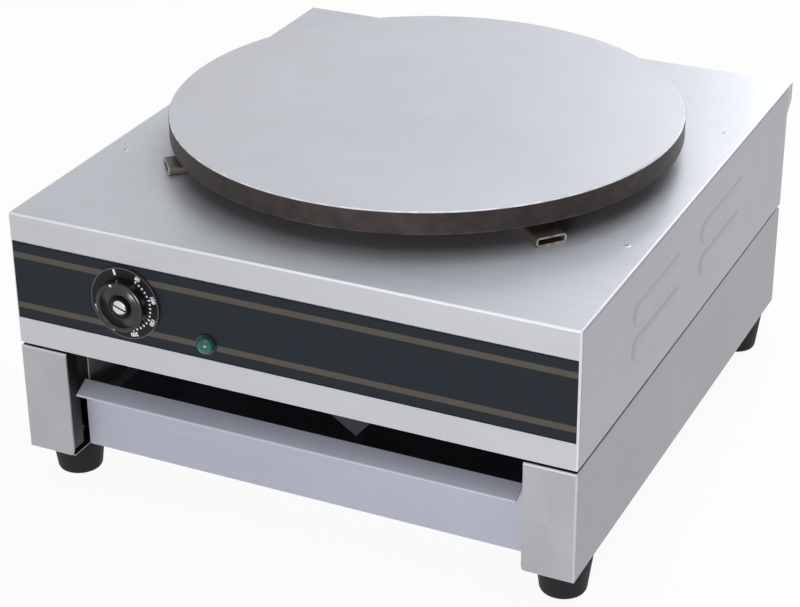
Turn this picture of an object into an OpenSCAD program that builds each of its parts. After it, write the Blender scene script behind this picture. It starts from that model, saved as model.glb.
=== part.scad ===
// Electric crepe maker: a round cast-iron griddle carried above a sheet-metal
// housing with a thermostat, on a base frame that holds a pull-out tray.
// Millimetres. +Z is up, the front faces -Y, and the feet stand on Z = 0.

/* [Housing] */
// Width of the housing and of the base frame
body_w = 450; // [400:1:520]
// Depth from the front face to the rear panel
body_d = 475; // [440:1:540]
// Height of the upper housing
housing_h = 108; // [90:1:140]
// Thickness of the stainless sheet
sheet_t = 1.2; // [0.8:0.1:1.5]
// Outside radius of a bend in the sheet
bend_r = 1.6; // [1.4:0.1:3]
// Gap left where two folded sheets meet at a corner
panel_gap = 0.5; // [0.3:0.1:0.8]
// Width of the inward flanges that the fasteners go through
flange_w = 24; // [20:1:30]
// Depth of the fold at the lower end of the front face
cover_return = 16; // [12:1:18]
// How far the top overhangs the rear panel
hem_out = 12; // [6:1:20]
// Height of the upright face of the rear overhang
hem_face = 14; // [8:1:20]
// Thickness of the shield that floors the housing
shield_t = 0.8; // [0.6:0.1:1.2]
// Distance of the top rivets from the side
rivet_side = 18; // [16:1:22]
// Distance of the top rivets before and behind the griddle's centre
rivet_spread = 112; // [90:1:130]
// Diameter of a top rivet
rivet_d = 4; // [3:0.5:5]
// Height of the spacers between the housing and the base frame
spacer_h = 2; // [1:0.1:4]

/* [Side louvres] */
// Length of one louvre
louvre_l = 106; // [60:1:130]
// Height of one louvre
louvre_h = 20; // [15:1:22]
// How far a louvre stands out
louvre_out = 1.4; // [1:0.1:3]
// Width of the soft slope round a louvre
louvre_slope = 6; // [4:0.5:7]
// Thickness of the pressed sheet of a louvre
louvre_t = 0.8; // [0.6:0.1:1]
// Distance between the two rows of louvres
louvre_row_gap = 27.5; // [25:0.5:34]
// Distance between the two columns of louvres
louvre_col_gap = 149; // [135:1:170]
// Centre of the front column behind the front face
louvre_front = 154; // [120:1:180]
// Centre of the rows above the bottom of the housing
louvre_z = 54.5; // [45:0.5:62]

/* [Base frame] */
// Height of the base frame
base_h = 89; // [70:1:110]
// Width of a front post
post_w = 40; // [36:0.5:44]
// Depth of the fold behind a front post
post_return = 14; // [10:1:18]
// Radius of the lower inner corner of a post
post_corner_r = 5; // [2:0.5:6]
// Distance of the frame bolts from the side
bolt_side = 13; // [12:0.5:14]
// Distance of the end bolts from the front and from the rear
bolt_end = 60; // [50:1:80]
// Diameter of the frame bolts
bolt_d = 5; // [4:0.5:6]

/* [Feet] */
// Height of a foot
foot_h = 30; // [18:1:36]
// Radius of a foot at its top
foot_r_top = 21; // [18:0.5:24]
// Radius of a foot at the floor
foot_r_floor = 17.5; // [14:0.5:20]
// Distance of a foot's centre from the side of the frame
foot_side = 21; // [20:0.5:24]
// Distance of the front feet from the front face
foot_front = 35; // [32:1:50]
// Distance of the rear feet from the rear face
foot_rear = 36; // [32:1:60]
// Diameter of the screw through a foot
foot_screw_d = 6; // [5:0.5:6]

/* [Griddle] */
// Diameter of the cooking plate
plate_d = 400; // [350:1:410]
// Depth of the plate's rim
plate_rim_h = 18; // [14:0.5:24]
// Thickness of the plate inside its rim
plate_web = 12; // [9:0.5:13]
// Width of the plate's rim
plate_rim_w = 14; // [10:0.5:18]
// Chamfer along the top edge
plate_chamfer = 1.2; // [0.5:0.1:2]
// Height of the plate's top above the housing
plate_rise = 32; // [30:0.5:38]
// Centre of the plate behind the front face
plate_y = 246; // [236:1:256]
// Diameter of the studs that hold the plate
plate_stud_d = 8; // [6:1:8]
// Distance of these studs from the plate's centre
plate_stud_r = 132; // [124:1:138]
// Radius of the bosses that take these studs
plate_boss_r = 11; // [9:0.5:12]

/* [Plate carrier] */
// Angle of the carrier arms to the width of the housing
arm_angle = 40; // [36:1:44]
// Width of an arm, a flat rectangular tube
arm_w = 24; // [22:1:26]
// Height of an arm
arm_h = 6.8; // [6:0.1:7.5]
// Wall of the arm's tube
arm_t = 1.3; // [1:0.1:1.5]
// Radius of the arm's rounded corners
arm_corner_r = 2.6; // [1.6:0.1:3]
// How far an arm reaches beyond the griddle
arm_over = 6; // [3:0.5:12]
// Radius of the hub that joins the arms
hub_r = 48; // [40:1:54]
// Radius of the hole in the hub
hub_hole_r = 16; // [10:1:20]
// Diameter of the screw that holds an arm
arm_screw_d = 5; // [4:0.5:5]

/* [Heating elements] */
// Free distance between the griddle's bosses and the outer heating ring
ring_clear = 8; // [6:0.5:12]
// Radius of the inner heating ring
ring_inner_r = 95; // [88:1:100]
// Diameter of the element's tube
tube_d = 8; // [6:0.5:8]
// Radius of the bend into an element's leg
tube_bend_r = 12; // [10:1:14]
// Length of an element's leg below the ring
leg_l = 58; // [52:1:64]
// Half the distance between the two legs of an element
leg_half_gap = 22; // [18:1:26]
// Width of the straps that clamp the elements
strap_w = 18; // [14:1:20]
// Thickness of these straps
strap_t = 1.6; // [1.2:0.1:2]
// How far a strap reaches beyond the rings
strap_over = 5; // [3:0.5:8]
// Diameter of the strap studs
strap_stud_d = 6; // [5:0.5:6]

/* [Reflector] */
// Free distance between the outer heating ring and the opening in the top
opening_clear = 6; // [5:0.5:12]
// Depth of the reflector pan
pan_depth = 32; // [28:1:36]
// Thickness of the pan's sheet
pan_t = 0.8; // [0.6:0.1:1]
// Width of the pan's flange under the housing top
pan_flange = 10; // [8:0.5:11]
// Thickness of the insulation in the pan
insulation_t = 18; // [14:1:20]

/* [Controls] */
// Centre of the dial from the middle of the front
dial_x = -127; // [-150:1:150]
// Centre of the dial above the bottom of the housing
dial_z = 55; // [45:1:62]
// Diameter of the dial
dial_d = 57; // [52:1:60]
// Thickness of the dial
dial_t = 2.2; // [1.6:0.1:3]
// Width of the bright ring round the dial
dial_ring_w = 0.7; // [0.6:0.1:1.4]
// Diameter of the knob at its front
knob_d = 39; // [36:0.5:42]
// Height of the knob
knob_h = 8; // [7:0.5:14]
// Clearance between the knob and the dial
knob_gap = 0.6; // [0.4:0.1:1]
// Diameter of the thermostat's shaft
shaft_d = 6; // [5:0.5:6]
// Radial running clearance of the shaft
shaft_clear = 0.05; // [0.03:0.01:0.1]
// Distance of the thermostat's screws from the shaft
therm_screw_r = 14; // [13:0.5:15]
// Wall of the sleeve that the shaft turns in
sleeve_t = 1.9; // [1.5:0.1:2.2]
// Height of the dark band across the front
band_h = 63.4; // [60:0.2:70]
// Centre of the band above the bottom of the housing
band_z = 54; // [48:0.2:58]
// Thickness of the band
band_t = 0.4; // [0.2:0.1:0.6]
// Centre of the lamp from the middle of the front
lamp_x = -61; // [-90:1:150]
// Centre of the lamp above the bottom of the housing
lamp_z = 35; // [31:0.5:60]
// Diameter of the lamp's lens
lamp_d = 13.4; // [11:0.2:15]

/* [Tray] */
// Width of the tray's front
tray_w = 359; // [300:1:364]
// Depth of the tray's front behind the posts
tray_set_back = 15; // [12:1:24]
// Lower edge of the tray's front above the bottom of the frame
tray_low = 5.5; // [3:0.5:8]
// Height of the tray's front
tray_front_h = 56.5; // [48:0.5:60]
// Length of the tray behind its front
tray_l = 418; // [360:1:424]
// Depth of the tray's bowl
tray_depth = 37; // [24:1:40]
// Thickness of the tray's sheet
tray_t = 0.9; // [0.8:0.1:1.2]
// How far the tray's hand lip reaches forward
lip_out = 13; // [8:0.5:14]
// How far the hand lip slopes down
lip_drop = 7; // [3:0.5:9]
// Width of the rim that the tray slides on
tray_rim_w = 9.5; // [8:0.5:12]
// Sliding clearance of the tray
tray_clear = 0.3; // [0.3:0.05:0.6]
// How far the tray pulls out
tray_travel = 275; // [150:1:300]

/* [Rear fittings] */
// Centre of the cable gland from the middle of the rear
gland_x = 130; // [-150:1:150]
// Centre of the cable gland above the bottom of the housing
gland_z = 34; // [26:1:60]
// Bore of the cable gland
gland_bore_d = 10.5; // [8:0.5:11]
// Thread diameter of the cable gland
gland_thread_d = 20; // [16:1:20]
// How far the gland stands out of the rear panel
gland_out = 18; // [16:1:24]
// Earth stud from the middle of the rear
earth_x = 178; // [160:1:190]
// Earth stud above the bottom of the housing
earth_z = 24; // [20:1:40]

/* [Hidden] */
$fn = 96;
half_w = body_w / 2;
z_base = foot_h;
z_frame = z_base + base_h;
z_box = z_frame + spacer_h;
z_top = z_box + housing_h;
z_plate = z_top + plate_rise;
z_rim = z_plate - plate_rim_h;
z_web = z_plate - plate_web;
hem_low = z_top - hem_face - hem_out;
knob_front = band_t + dial_t + knob_gap + knob_h;
front_y = -(body_d + gland_out - knob_front) / 2;
stiff_w = 30;
rivet_x = half_w - rivet_side;
rivet_ys = [plate_y - rivet_spread, plate_y + rivet_spread];
rivet_play = 0.1;
bolt_x = half_w - bolt_side;
bolt_ys = [bolt_end, plate_y, body_d - bolt_end];
bolt_play = 0.3;
bolt_af = bolt_d * 1.6;
bolt_nut_h = 4;
screw_play = 0.2;
rear_screw_side = 10;
rear_screw_d = 3.4;
rear_screw_l = 9;
rear_head_r = 3.6;
rear_head_h = 2.4;
rear_head_edge = 0.6;
foot_bore_h = 10;
foot_screw_head_r = 5.6;
foot_x = half_w - foot_side;
foot_ys = [foot_front, body_d - foot_rear];
arm_angles = [arm_angle, 180 - arm_angle, 180 + arm_angle, 360 - arm_angle];
strap_angles = [0, 66, 114, 180, 270];
plate_stud_l = 14;
plate_nut_h = 6.5;
tube_r = tube_d / 2;
leg_r = tube_r - 0.1;
ring_outer_r = plate_stud_r + plate_boss_r + ring_clear + tube_r;
strap_stud_r = (ring_outer_r + ring_inner_r) / 2;
pin_l = 9;
pin_r = 1.8;
strap_boss_r = 8;
strap_hole_h = 13;
strap_nut_h = 5;
z_ring = z_web - tube_r;
z_strap = z_ring - tube_r - strap_t;
opening_r = ring_outer_r + tube_r + opening_clear;
pan_r = opening_r - 0.6;
pan_bend = 3;
z_pan = z_top - sheet_t - pan_depth;
arm_nut_af = 8;
arm_nut_h = 4;
arm_screw_head_h = 2.4;
arm_screw_r = pan_r + pan_flange + arm_nut_af / sqrt(3) + 1.5;
arm_end_r = plate_d / 2 + arm_over;
rail_t = 1.2;
rail_x = tray_w / 2 + 1.8;
z_tray = z_base + tray_low;
z_rim_tray = z_tray + tray_depth;
z_rail = z_rim_tray - tray_t - tray_clear - rail_t;
tray_bowl_x = tray_w / 2 - tray_rim_w;
tray_back = tray_set_back + tray_t + tray_l;
tray_lug_h = 6;
tray_lug_in = 6;
stop_y = tray_back - tray_lug_in - tray_travel - rail_t - 0.4;
rail_top_w = half_w - 4 - rail_x;
rail_front = 24;
rail_over = 3;
cap_r = 5.4;
cap_drop = 2;
dish_r = 10.5;
dish_h = 2.6;
hub_knob_r = 6.4;
hub_back = 1.2;
shaft_in = knob_h - 4;
shaft_fit = 0.02;
shaft_flat = 1;
therm_w = 40;
therm_h = 44;
therm_l = 32;
therm_hole_r = 2;
therm_tab_x = 12;
therm_tab_z = 16;
therm_tab_l = 8;
capillary_up = 12;
sleeve_play = 0.3;
bulb_x = -40;
bulb_l = 96;
bulb_r = 3;
clip_screw_x = bulb_x - 22;
clip_screw_r = 2;
clip_t = 1.2;
clip_l = 16;
capillary_r = 1.1;
capillary_bend = 8;
bulb_end_y = plate_y - bulb_l / 2;
drop_y = bulb_end_y - 14;
lamp_step = 1.2;
lamp_play = 0.1;
lamp_tab_x = 2.5;
lamp_l = 26;
lamp_tab_l = 7;
shield_z = z_box + sheet_t;
tongue_y = 18.4;
tongue_w = 62;
tongue_h = 26;
tongue_x = 40;
air_hole_pitch = 24;
air_hole_r = 4;
air_hole_front = 90;
air_hole_back = 110;
air_hole_row = 20;
air_hole_ys = [
    air_hole_front,
    air_hole_front + air_hole_row,
    body_d - air_hole_back - air_hole_row,
    body_d - air_hole_back
];
vent_x = -62;
vent_z = 46;
vent_side = 7;
vent_pitch = 10;
vent_row = 11;
gland_in = 12;
gland_neck = 12;
gland_nut_h = 4.5;
gland_collar = 5;
earth_stud_r = 3;
earth_nut_af = 9.7;
wire_r = 1.3;
wire_bend = 4.5;
block_x = 70;
block_back = 42;
block_y = body_d - block_back;
block_pitch = 9;
block_tower = block_pitch / 2 - 0.9;
block_hole_r = wire_r + 0.7;
block_screw_r = 1.6;
block_head_r = 2.6;
block_head_h = 2;
block_screw_x = 1.5 * block_pitch + block_tower + block_head_r + 0.3;
block_foot = 9;
z_block = shield_z + shield_t;
z_block_hole = z_block + block_foot - 1;

// ---- shared shapes ----

// Moves a piece from "distance behind the front face" to the part's own origin.
module placed() {
    translate([0, front_y, 0]) children();
}

// Outside of a rounded corner at c; way points from the rectangle outwards.
module corner_waste(c, way, r) {
    difference() {
        translate([c[0] - (way[0] > 0 ? r : 1), c[1] - (way[1] > 0 ? r : 1)])
            square(r + 1);
        translate(c - way * r) circle(r = r);
    }
}

module round_rect(x0, y0, x1, y1, r) {
    difference() {
        translate([x0, y0]) square([x1 - x0, y1 - y0]);
        corner_waste([x0, y0], [-1, -1], r);
        corner_waste([x1, y0], [1, -1], r);
        corner_waste([x0, y1], [-1, 1], r);
        corner_waste([x1, y1], [1, 1], r);
    }
}

module along_x(x0, x1) {
    translate([x0, 0, 0]) rotate([90, 0, 90]) linear_extrude(x1 - x0) children();
}

module along_y(y0, y1) {
    translate([0, y1, 0]) rotate([90, 0, 0]) linear_extrude(y1 - y0) children();
}

module block(x0, x1, y0, y1, z0, z1) {
    translate([x0, y0, z0]) cube([x1 - x0, y1 - y0, z1 - z0]);
}

module rod_y(x, z, y0, y1, r) {
    translate([x, y1, z]) rotate([90, 0, 0]) cylinder(h = y1 - y0, r = r);
}

module both_sides() {
    children();
    mirror([1, 0, 0]) children();
}

// Straight length of tube between two points.
module tube_run(a, b, r) {
    d = b - a;
    l = norm(d);
    translate(a) rotate([0, acos(d[2] / l), atan2(d[1], d[0])]) cylinder(h = l, r = r);
}

// Quarter bend at corner c, from direction i to direction o.
module tube_bend(c, i, o, bend, r) {
    n = cross(i, o);
    p = c - i * bend + o * bend;
    multmatrix([
        [-o[0], i[0], n[0], p[0]],
        [-o[1], i[1], n[1], p[1]],
        [-o[2], i[2], n[2], p[2]],
        [0, 0, 0, 1]
    ]) rotate_extrude(angle = 90) translate([bend, 0]) circle(r = r);
}

// Tube along right-angled points, with a quarter bend at every corner. The straight
// lengths are a hair thinner and run a little way into the bends.
module tube_path(points, bend, r) {
    n = len(points);
    function way(k) = (points[k + 1] - points[k]) / norm(points[k + 1] - points[k]);
    for (k = [0 : n - 2]) {
        start = k == 0 ? points[0] : points[k] + way(k) * (bend - 0.4);
        end = k == n - 2 ? points[n - 1] : points[k + 1] - way(k) * (bend - 0.4);
        tube_run(start, end, r - 0.05);
    }
    for (k = [1 : n - 2]) tube_bend(points[k], way(k - 1), way(k), bend, r);
}

module hex_nut(d, af, h) {
    difference() {
        cylinder(h = h, r = af / sqrt(3), $fn = 6);
        translate([0, 0, -1]) cylinder(h = h + 2, r = d / 2);
    }
}

// ---- upper housing ----

// Bend radius of a sheet surface that lies the given amount inside the outer one.
function inner_bend(inset) = max(bend_r - inset, 0.3);

// Side outline of the housing, in from its outside by the given amount.
module housing_outline(inset) {
    r = inner_bend(inset);
    slope = inset * (sqrt(2) - 1);
    back = body_d + hem_out - inset;
    low = z_box + inset;
    high = z_top - inset;
    difference() {
        polygon([
            [inset, low],
            [body_d - inset, low],
            [body_d - inset, hem_low - slope],
            [back, z_top - hem_face - slope],
            [back, high],
            [inset, high]
        ]);
        corner_waste([inset, low], [-1, -1], r);
        corner_waste([body_d - inset, low], [1, -1], r);
        corner_waste([inset, high], [-1, 1], r);
        corner_waste([back, high], [1, 1], r);
    }
}

module housing_solid(inset) {
    r = inner_bend(inset);
    back = body_d + hem_out;
    intersection() {
        along_x(-half_w, half_w) housing_outline(inset);
        along_y(-1, back + 1)
            round_rect(-half_w + inset, z_box + inset, half_w - inset, z_top - inset, r);
        translate([0, 0, z_box - 1]) linear_extrude(housing_h + 2)
            round_rect(-half_w + inset, inset, half_w - inset, back - inset, r);
    }
}

// The sheet skin of the housing: layer 0 is the skin, layer 1 lies just inside it.
module housing_skin(layer) {
    difference() {
        housing_solid(layer * sheet_t);
        housing_solid((layer + 1) * sheet_t);
    }
}

// Holes for the thermostat's sleeve and screws, through whatever lies from y0 to y1.
module front_holes(y0, y1) {
    rod_y(dial_x, z_box + dial_z, y0, y1, shaft_d / 2 + sleeve_t + sleeve_play);
    for (s = [-1, 1])
        rod_y(dial_x, z_box + dial_z + s * therm_screw_r, y0, y1, therm_hole_r + screw_play);
}

module top_cover() {
    color([0.80, 0.81, 0.83]) placed() difference() {
        intersection() {
            housing_skin(0);
            union() {
                block(-half_w, half_w, -1, body_d + 30, z_top - bend_r, z_top + 1);
                block(-half_w, half_w, -1, bend_r, z_box - 1, z_top);
                block(-half_w, half_w, body_d - sheet_t, body_d + 30, hem_low, z_top);
                block(-half_w + flange_w + 2, half_w - flange_w - 2, 0, cover_return,
                    z_box - 1, z_box + sheet_t);
            }
        }
        translate([0, plate_y, z_top - 5]) cylinder(h = 10, r = opening_r);
        for (x = [-rivet_x, rivet_x], y = rivet_ys)
            translate([x, y, z_top - 5]) cylinder(h = 10, r = rivet_d / 2 + rivet_play);
        for (a = arm_angles) translate([0, plate_y, z_top - 5]) rotate([0, 0, a])
            translate([arm_screw_r, 0, 0]) cylinder(h = 10, r = arm_screw_d / 2 + screw_play);
        front_holes(-1, 5);
        rod_y(lamp_x, z_box + lamp_z, -1, 5, lamp_d / 2 - lamp_step);
    }
}

// Tablet with sloping edges: the base has the given radius, the face is narrower.
module louvre_layer(r0, r1, x0, x1) {
    straight = louvre_l - louvre_h;
    for (s = [-1, 1]) translate([x0, s * straight / 2, 0])
        rotate([0, 90, 0]) cylinder(h = x1 - x0, r1 = r0, r2 = r1);
    rotate([90, 0, 0]) linear_extrude(straight, center = true)
        polygon([[x0, -r0], [x1, -r1], [x1, r1], [x0, r0]]);
}

// One pressed louvre, centred on its own origin, that reaches out to the given height:
// a steeper slope first, then a flatter one.
module louvre_shape(out) {
    r = louvre_h / 2;
    louvre_layer(r, r - louvre_slope * 0.45, 0, out * 0.65);
    louvre_layer(r - louvre_slope * 0.45, r - louvre_slope, out * 0.65 - 0.001, out);
}

module louvre_places() {
    for (col = [0, 1], row = [-0.5, 0.5]) translate([
        half_w,
        louvre_front + col * louvre_col_gap,
        z_box + louvre_z + row * louvre_row_gap
    ]) children();
}

module side_panel() {
    skin = sheet_t;
    edge = bend_r + panel_gap;
    tab_w = 18;
    tab_l = 6;
    top_flange_end = 20;
    top_flange_h = 14;
    tab_up = 14;
    tab_down = 20;
    color([0.70, 0.71, 0.73]) difference() {
        union() {
            intersection() {
                housing_skin(0);
                union() {
                    block(half_w - bend_r, half_w + 1, edge, body_d - bend_r, z_box - 1, z_top - edge);
                    block(half_w - flange_w, half_w + 1, edge, body_d - bend_r, z_box - 1, z_box + skin);
                    block(half_w - skin, half_w + 1, edge, body_d - skin, z_box - 1, z_top - edge);
                    block(half_w - skin, half_w + 1, edge, body_d, z_box - 1, hem_low);
                }
            }
            intersection() {
                housing_skin(1);
                union() {
                    block(half_w - stiff_w, half_w, top_flange_end, body_d - top_flange_end,
                        z_top - top_flange_h, z_top);
                    block(half_w - tab_w, half_w, body_d - tab_l, body_d,
                        z_box + tab_up, hem_low - tab_up);
                    block(half_w - tab_w, half_w, 0, tab_l, z_box + tab_up, z_top - tab_down);
                }
            }
            louvre_places() translate([-0.02, 0, 0]) louvre_shape(louvre_out + 0.02);
        }
        louvre_places() translate([-skin - 0.02, 0, 0])
            louvre_shape(louvre_out - louvre_t + skin + 0.02);
        louvre_places() translate([0, -(louvre_l - louvre_h) / 2, -louvre_h / 2 - 1])
            cube([louvre_out - louvre_t, louvre_l - louvre_h, louvre_slope + 1]);
        for (y = rivet_ys) translate([rivet_x, y, z_top - 8])
            cylinder(h = 10, r = rivet_d / 2 + rivet_play);
        for (y = bolt_ys) translate([bolt_x, y, z_box - 1])
            cylinder(h = 4, r = bolt_d / 2 + bolt_play);
        for (z = rear_screw_zs())
            rod_y(half_w - rear_screw_side, z, body_d - 8, body_d + 1, rear_screw_d / 2);
    }
}

module side_panel_right() {
    placed() side_panel();
}

module side_panel_left() {
    placed() mirror([1, 0, 0]) side_panel();
}

function rear_screw_xs() = [-half_w + rear_screw_side, half_w - rear_screw_side];
function rear_screw_zs() = [z_box + 22, hem_low - 22];

module rear_panel() {
    lip_side = 40;
    lip_half = 10;
    color([0.70, 0.71, 0.73]) placed() difference() {
        union() {
            intersection() {
                housing_skin(0);
                union() {
                    block(-half_w + sheet_t + 0.1, half_w - sheet_t - 0.1,
                        body_d - bend_r, body_d + 0.01, z_box - 1, hem_low);
                    block(-half_w + flange_w + 0.4, half_w - flange_w - 0.4,
                        body_d - cover_return, body_d, z_box - 1, z_box + sheet_t);
                }
            }
            block(-half_w + lip_side, half_w - lip_side, body_d - 2 * sheet_t, body_d - sheet_t,
                hem_low - 2 - lip_half, hem_low - 2 + lip_half);
        }
        for (x = rear_screw_xs(), z = rear_screw_zs())
            rod_y(x, z, body_d - 8, body_d + 1, rear_screw_d / 2 + bolt_play);
        for (n = [-vent_side : vent_side], s = [-1, 1])
            vent_slot(vent_x + n * vent_pitch, z_box + vent_z + s * vent_row);
        rod_y(gland_x, z_box + gland_z, body_d - 8, body_d + 1, gland_thread_d / 2 + screw_play);
        rod_y(earth_x, z_box + earth_z, body_d - 8, body_d + 1, earth_stud_r + screw_play);
    }
}

module vent_slot(x, z) {
    half_h = 6;
    r = 2;
    block(x - r, x + r, body_d - 4, body_d + 1, z - half_h, z + half_h);
    for (s = [-1, 1]) rod_y(x, z + s * half_h, body_d - 4, body_d + 1, r);
}

// Floor of the housing: shields the tray from the heat.
module heat_shield() {
    edge = 2 * sheet_t + 0.4;
    color([0.62, 0.63, 0.65]) placed() difference() {
        union() {
            block(-half_w + edge, half_w - edge, edge, body_d - edge,
                shield_z, shield_z + shield_t);
            along_y(tongue_y, tongue_y + shield_t) polygon([
                [tongue_x - tongue_w / 2, shield_z + 0.1],
                [tongue_x + 8, shield_z - tongue_h],
                [tongue_x + tongue_w / 2, shield_z + 0.1]
            ]);
        }
        for (x = [-bolt_x, bolt_x], y = bolt_ys) translate([x, y, shield_z - 1])
            cylinder(h = 4, r = bolt_d / 2 + bolt_play);
        for (n = [-5 : 5], y = air_hole_ys)
            translate([n * air_hole_pitch, y, shield_z - 1]) cylinder(h = 4, r = air_hole_r);
        for (x = [-block_screw_x, block_screw_x]) translate([block_x + x, block_y, shield_z - 1])
            cylinder(h = 4, r = block_screw_r + 0.1);
    }
}

module top_rivets() {
    r = rivet_d / 2;
    head_h = 0.4;
    tail_h = 1.2;
    z_low = z_top - 2 * sheet_t - tail_h;
    color([0.85, 0.86, 0.88]) placed() for (x = [-rivet_x, rivet_x], y = rivet_ys)
        translate([x, y, 0]) {
            translate([0, 0, z_low]) cylinder(h = z_top - z_low, r = r);
            translate([0, 0, z_top]) cylinder(h = head_h, r1 = r + 0.9, r2 = r - 0.2);
            translate([0, 0, z_low]) cylinder(h = tail_h, r = r + 1);
        }
}

module rear_screws() {
    cross = 2.2;
    cross_w = 0.9;
    cross_deep = 1.2;
    y_head = body_d + rear_head_h;
    color([0.6, 0.6, 0.62]) placed() for (x = rear_screw_xs(), z = rear_screw_zs())
        difference() {
            union() {
                rod_y(x, z, body_d - rear_screw_l, body_d, rear_screw_d / 2);
                rod_y(x, z, body_d, y_head - rear_head_edge, rear_head_r);
                translate([x, y_head, z]) rotate([90, 0, 0])
                    cylinder(h = rear_head_edge, r1 = rear_head_r - 0.8, r2 = rear_head_r);
            }
            block(x - cross, x + cross, y_head - cross_deep, y_head + 1,
                z - cross_w / 2, z + cross_w / 2);
            block(x - cross_w / 2, x + cross_w / 2, y_head - cross_deep, y_head + 1,
                z - cross, z + cross);
        }
}

// ---- griddle ----

module at_plate_angle(a, r) {
    translate([0, plate_y, 0]) rotate([0, 0, a]) translate([r, 0, 0]) children();
}

module cooking_plate() {
    r = plate_d / 2;
    z_pad = z_top + arm_h;
    color([0.30, 0.28, 0.27]) placed() difference() {
        union() {
            translate([0, plate_y, 0]) rotate_extrude() polygon([
                [0, z_web],
                [r - plate_rim_w, z_web],
                [r - plate_rim_w + 3, z_rim],
                [r - 1, z_rim],
                [r, z_rim + 1],
                [r, z_plate - plate_chamfer],
                [r - plate_chamfer, z_plate],
                [0, z_plate]
            ]);
            for (a = arm_angles) at_plate_angle(a, plate_stud_r)
                translate([0, 0, z_pad]) cylinder(h = z_web - z_pad + 1, r = plate_boss_r);
            for (a = strap_angles) at_plate_angle(a, strap_stud_r)
                translate([0, 0, z_strap + strap_t]) cylinder(h = tube_d + 1, r = strap_boss_r);
        }
        for (a = arm_angles) at_plate_angle(a, plate_stud_r)
            translate([0, 0, z_pad - 1]) cylinder(h = plate_stud_l + 1, r = plate_stud_d / 2);
        for (a = strap_angles) at_plate_angle(a, strap_stud_r)
            translate([0, 0, z_strap]) cylinder(h = strap_hole_h, r = strap_stud_d / 2);
        translate([clip_screw_x, plate_y, z_web - 1]) cylinder(h = 9, r = clip_screw_r);
    }
}

module plate_studs() {
    z_low = z_top - plate_nut_h - 2.5;
    color([0.72, 0.73, 0.75]) placed() for (a = arm_angles) at_plate_angle(a, plate_stud_r)
        translate([0, 0, z_low])
            cylinder(h = z_top + arm_h + plate_stud_l - z_low, r = plate_stud_d / 2);
}

module plate_nuts() {
    color([0.72, 0.73, 0.75]) placed() for (a = arm_angles) at_plate_angle(a, plate_stud_r)
        translate([0, 0, z_top - plate_nut_h]) hex_nut(plate_stud_d, 13, plate_nut_h);
}

// Four flattened tubes welded to a hub; their open ends show beyond the plate's rim.
module plate_carrier() {
    color([0.66, 0.66, 0.67]) placed() difference() {
        union() {
            at_arms() arm_length(hub_hole_r + 6, arm_end_r, 0);
            translate([0, plate_y, z_top]) cylinder(h = arm_h, r = hub_r);
        }
        at_arms() arm_length(hub_r + 4, arm_end_r + 1, arm_t);
        translate([0, plate_y, z_top - 1]) cylinder(h = arm_h + 2, r = hub_hole_r);
        for (a = arm_angles) {
            at_plate_angle(a, plate_stud_r)
                translate([0, 0, z_top - 1]) cylinder(h = arm_h + 2, r = plate_stud_d / 2 + screw_play);
            at_plate_angle(a, arm_screw_r)
                translate([0, 0, z_top - 1]) cylinder(h = arm_h + 2, r = arm_screw_d / 2 + screw_play);
        }
    }
}

module at_arms() {
    for (a = arm_angles) translate([0, plate_y, z_top]) rotate([0, 0, a]) children();
}

// A stretch of an arm's outline from r0 to r1, in from its outside by the given wall.
module arm_length(r0, r1, wall) {
    side = arm_w / 2 - wall;
    along_x(r0, r1) round_rect(-side, wall, side, arm_h - wall, arm_corner_r - wall);
}

module carrier_screws() {
    z_low = z_top - sheet_t - arm_nut_h - 2;
    color([0.62, 0.62, 0.64]) placed() for (a = arm_angles) at_plate_angle(a, arm_screw_r) {
        translate([0, 0, z_low]) cylinder(h = z_top + arm_h - z_low, r = arm_screw_d / 2);
        translate([0, 0, z_top + arm_h])
            cylinder(h = arm_screw_head_h, r1 = arm_screw_d / 2 + 2, r2 = arm_screw_d / 2 + 0.9);
    }
}

module carrier_nuts() {
    color([0.62, 0.62, 0.64]) placed() for (a = arm_angles) at_plate_angle(a, arm_screw_r)
        translate([0, 0, z_top - sheet_t - arm_nut_h]) hex_nut(arm_screw_d, arm_nut_af, arm_nut_h);
}

// ---- heating elements ----

// A tubular ring with two legs at the rear, each with a terminal pin.
module heating_ring(ring_r) {
    gap = asin(leg_half_gap / ring_r);
    translate([0, plate_y, z_ring]) {
        rotate([0, 0, 90 + gap]) rotate_extrude(angle = 360 - 2 * gap)
            translate([ring_r, 0]) circle(r = tube_r);
        for (s = [-1, 1]) rotate([0, 0, 90 - s * gap]) translate([ring_r, 0, 0]) {
            tube_path([
                [0, -s, 0],
                [0, s * tube_bend_r, 0],
                [0, s * tube_bend_r, -leg_l]
            ], tube_bend_r, leg_r);
            translate([0, s * tube_bend_r, -leg_l - pin_l]) cylinder(h = pin_l + 0.5, r = pin_r);
        }
    }
}

// Where the legs of a ring come down, relative to the plate's centre.
function leg_spot(ring_r, s) =
    let (gap = asin(leg_half_gap / ring_r), a = 90 - s * gap)
    [ring_r * cos(a) - s * tube_bend_r * sin(a), ring_r * sin(a) + s * tube_bend_r * cos(a)];

module element_outer() {
    color([0.42, 0.38, 0.36]) placed() heating_ring(ring_outer_r);
}

module element_inner() {
    color([0.42, 0.38, 0.36]) placed() heating_ring(ring_inner_r);
}

module element_straps() {
    color([0.64, 0.64, 0.66]) placed() for (a = strap_angles)
        translate([0, plate_y, z_strap]) rotate([0, 0, a]) difference() {
            block(ring_inner_r - tube_r - strap_over, ring_outer_r + tube_r + strap_over,
                -strap_w / 2, strap_w / 2, 0, strap_t);
            translate([strap_stud_r, 0, -1]) cylinder(h = strap_t + 2, r = strap_stud_d / 2 + screw_play);
        }
}

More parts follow.
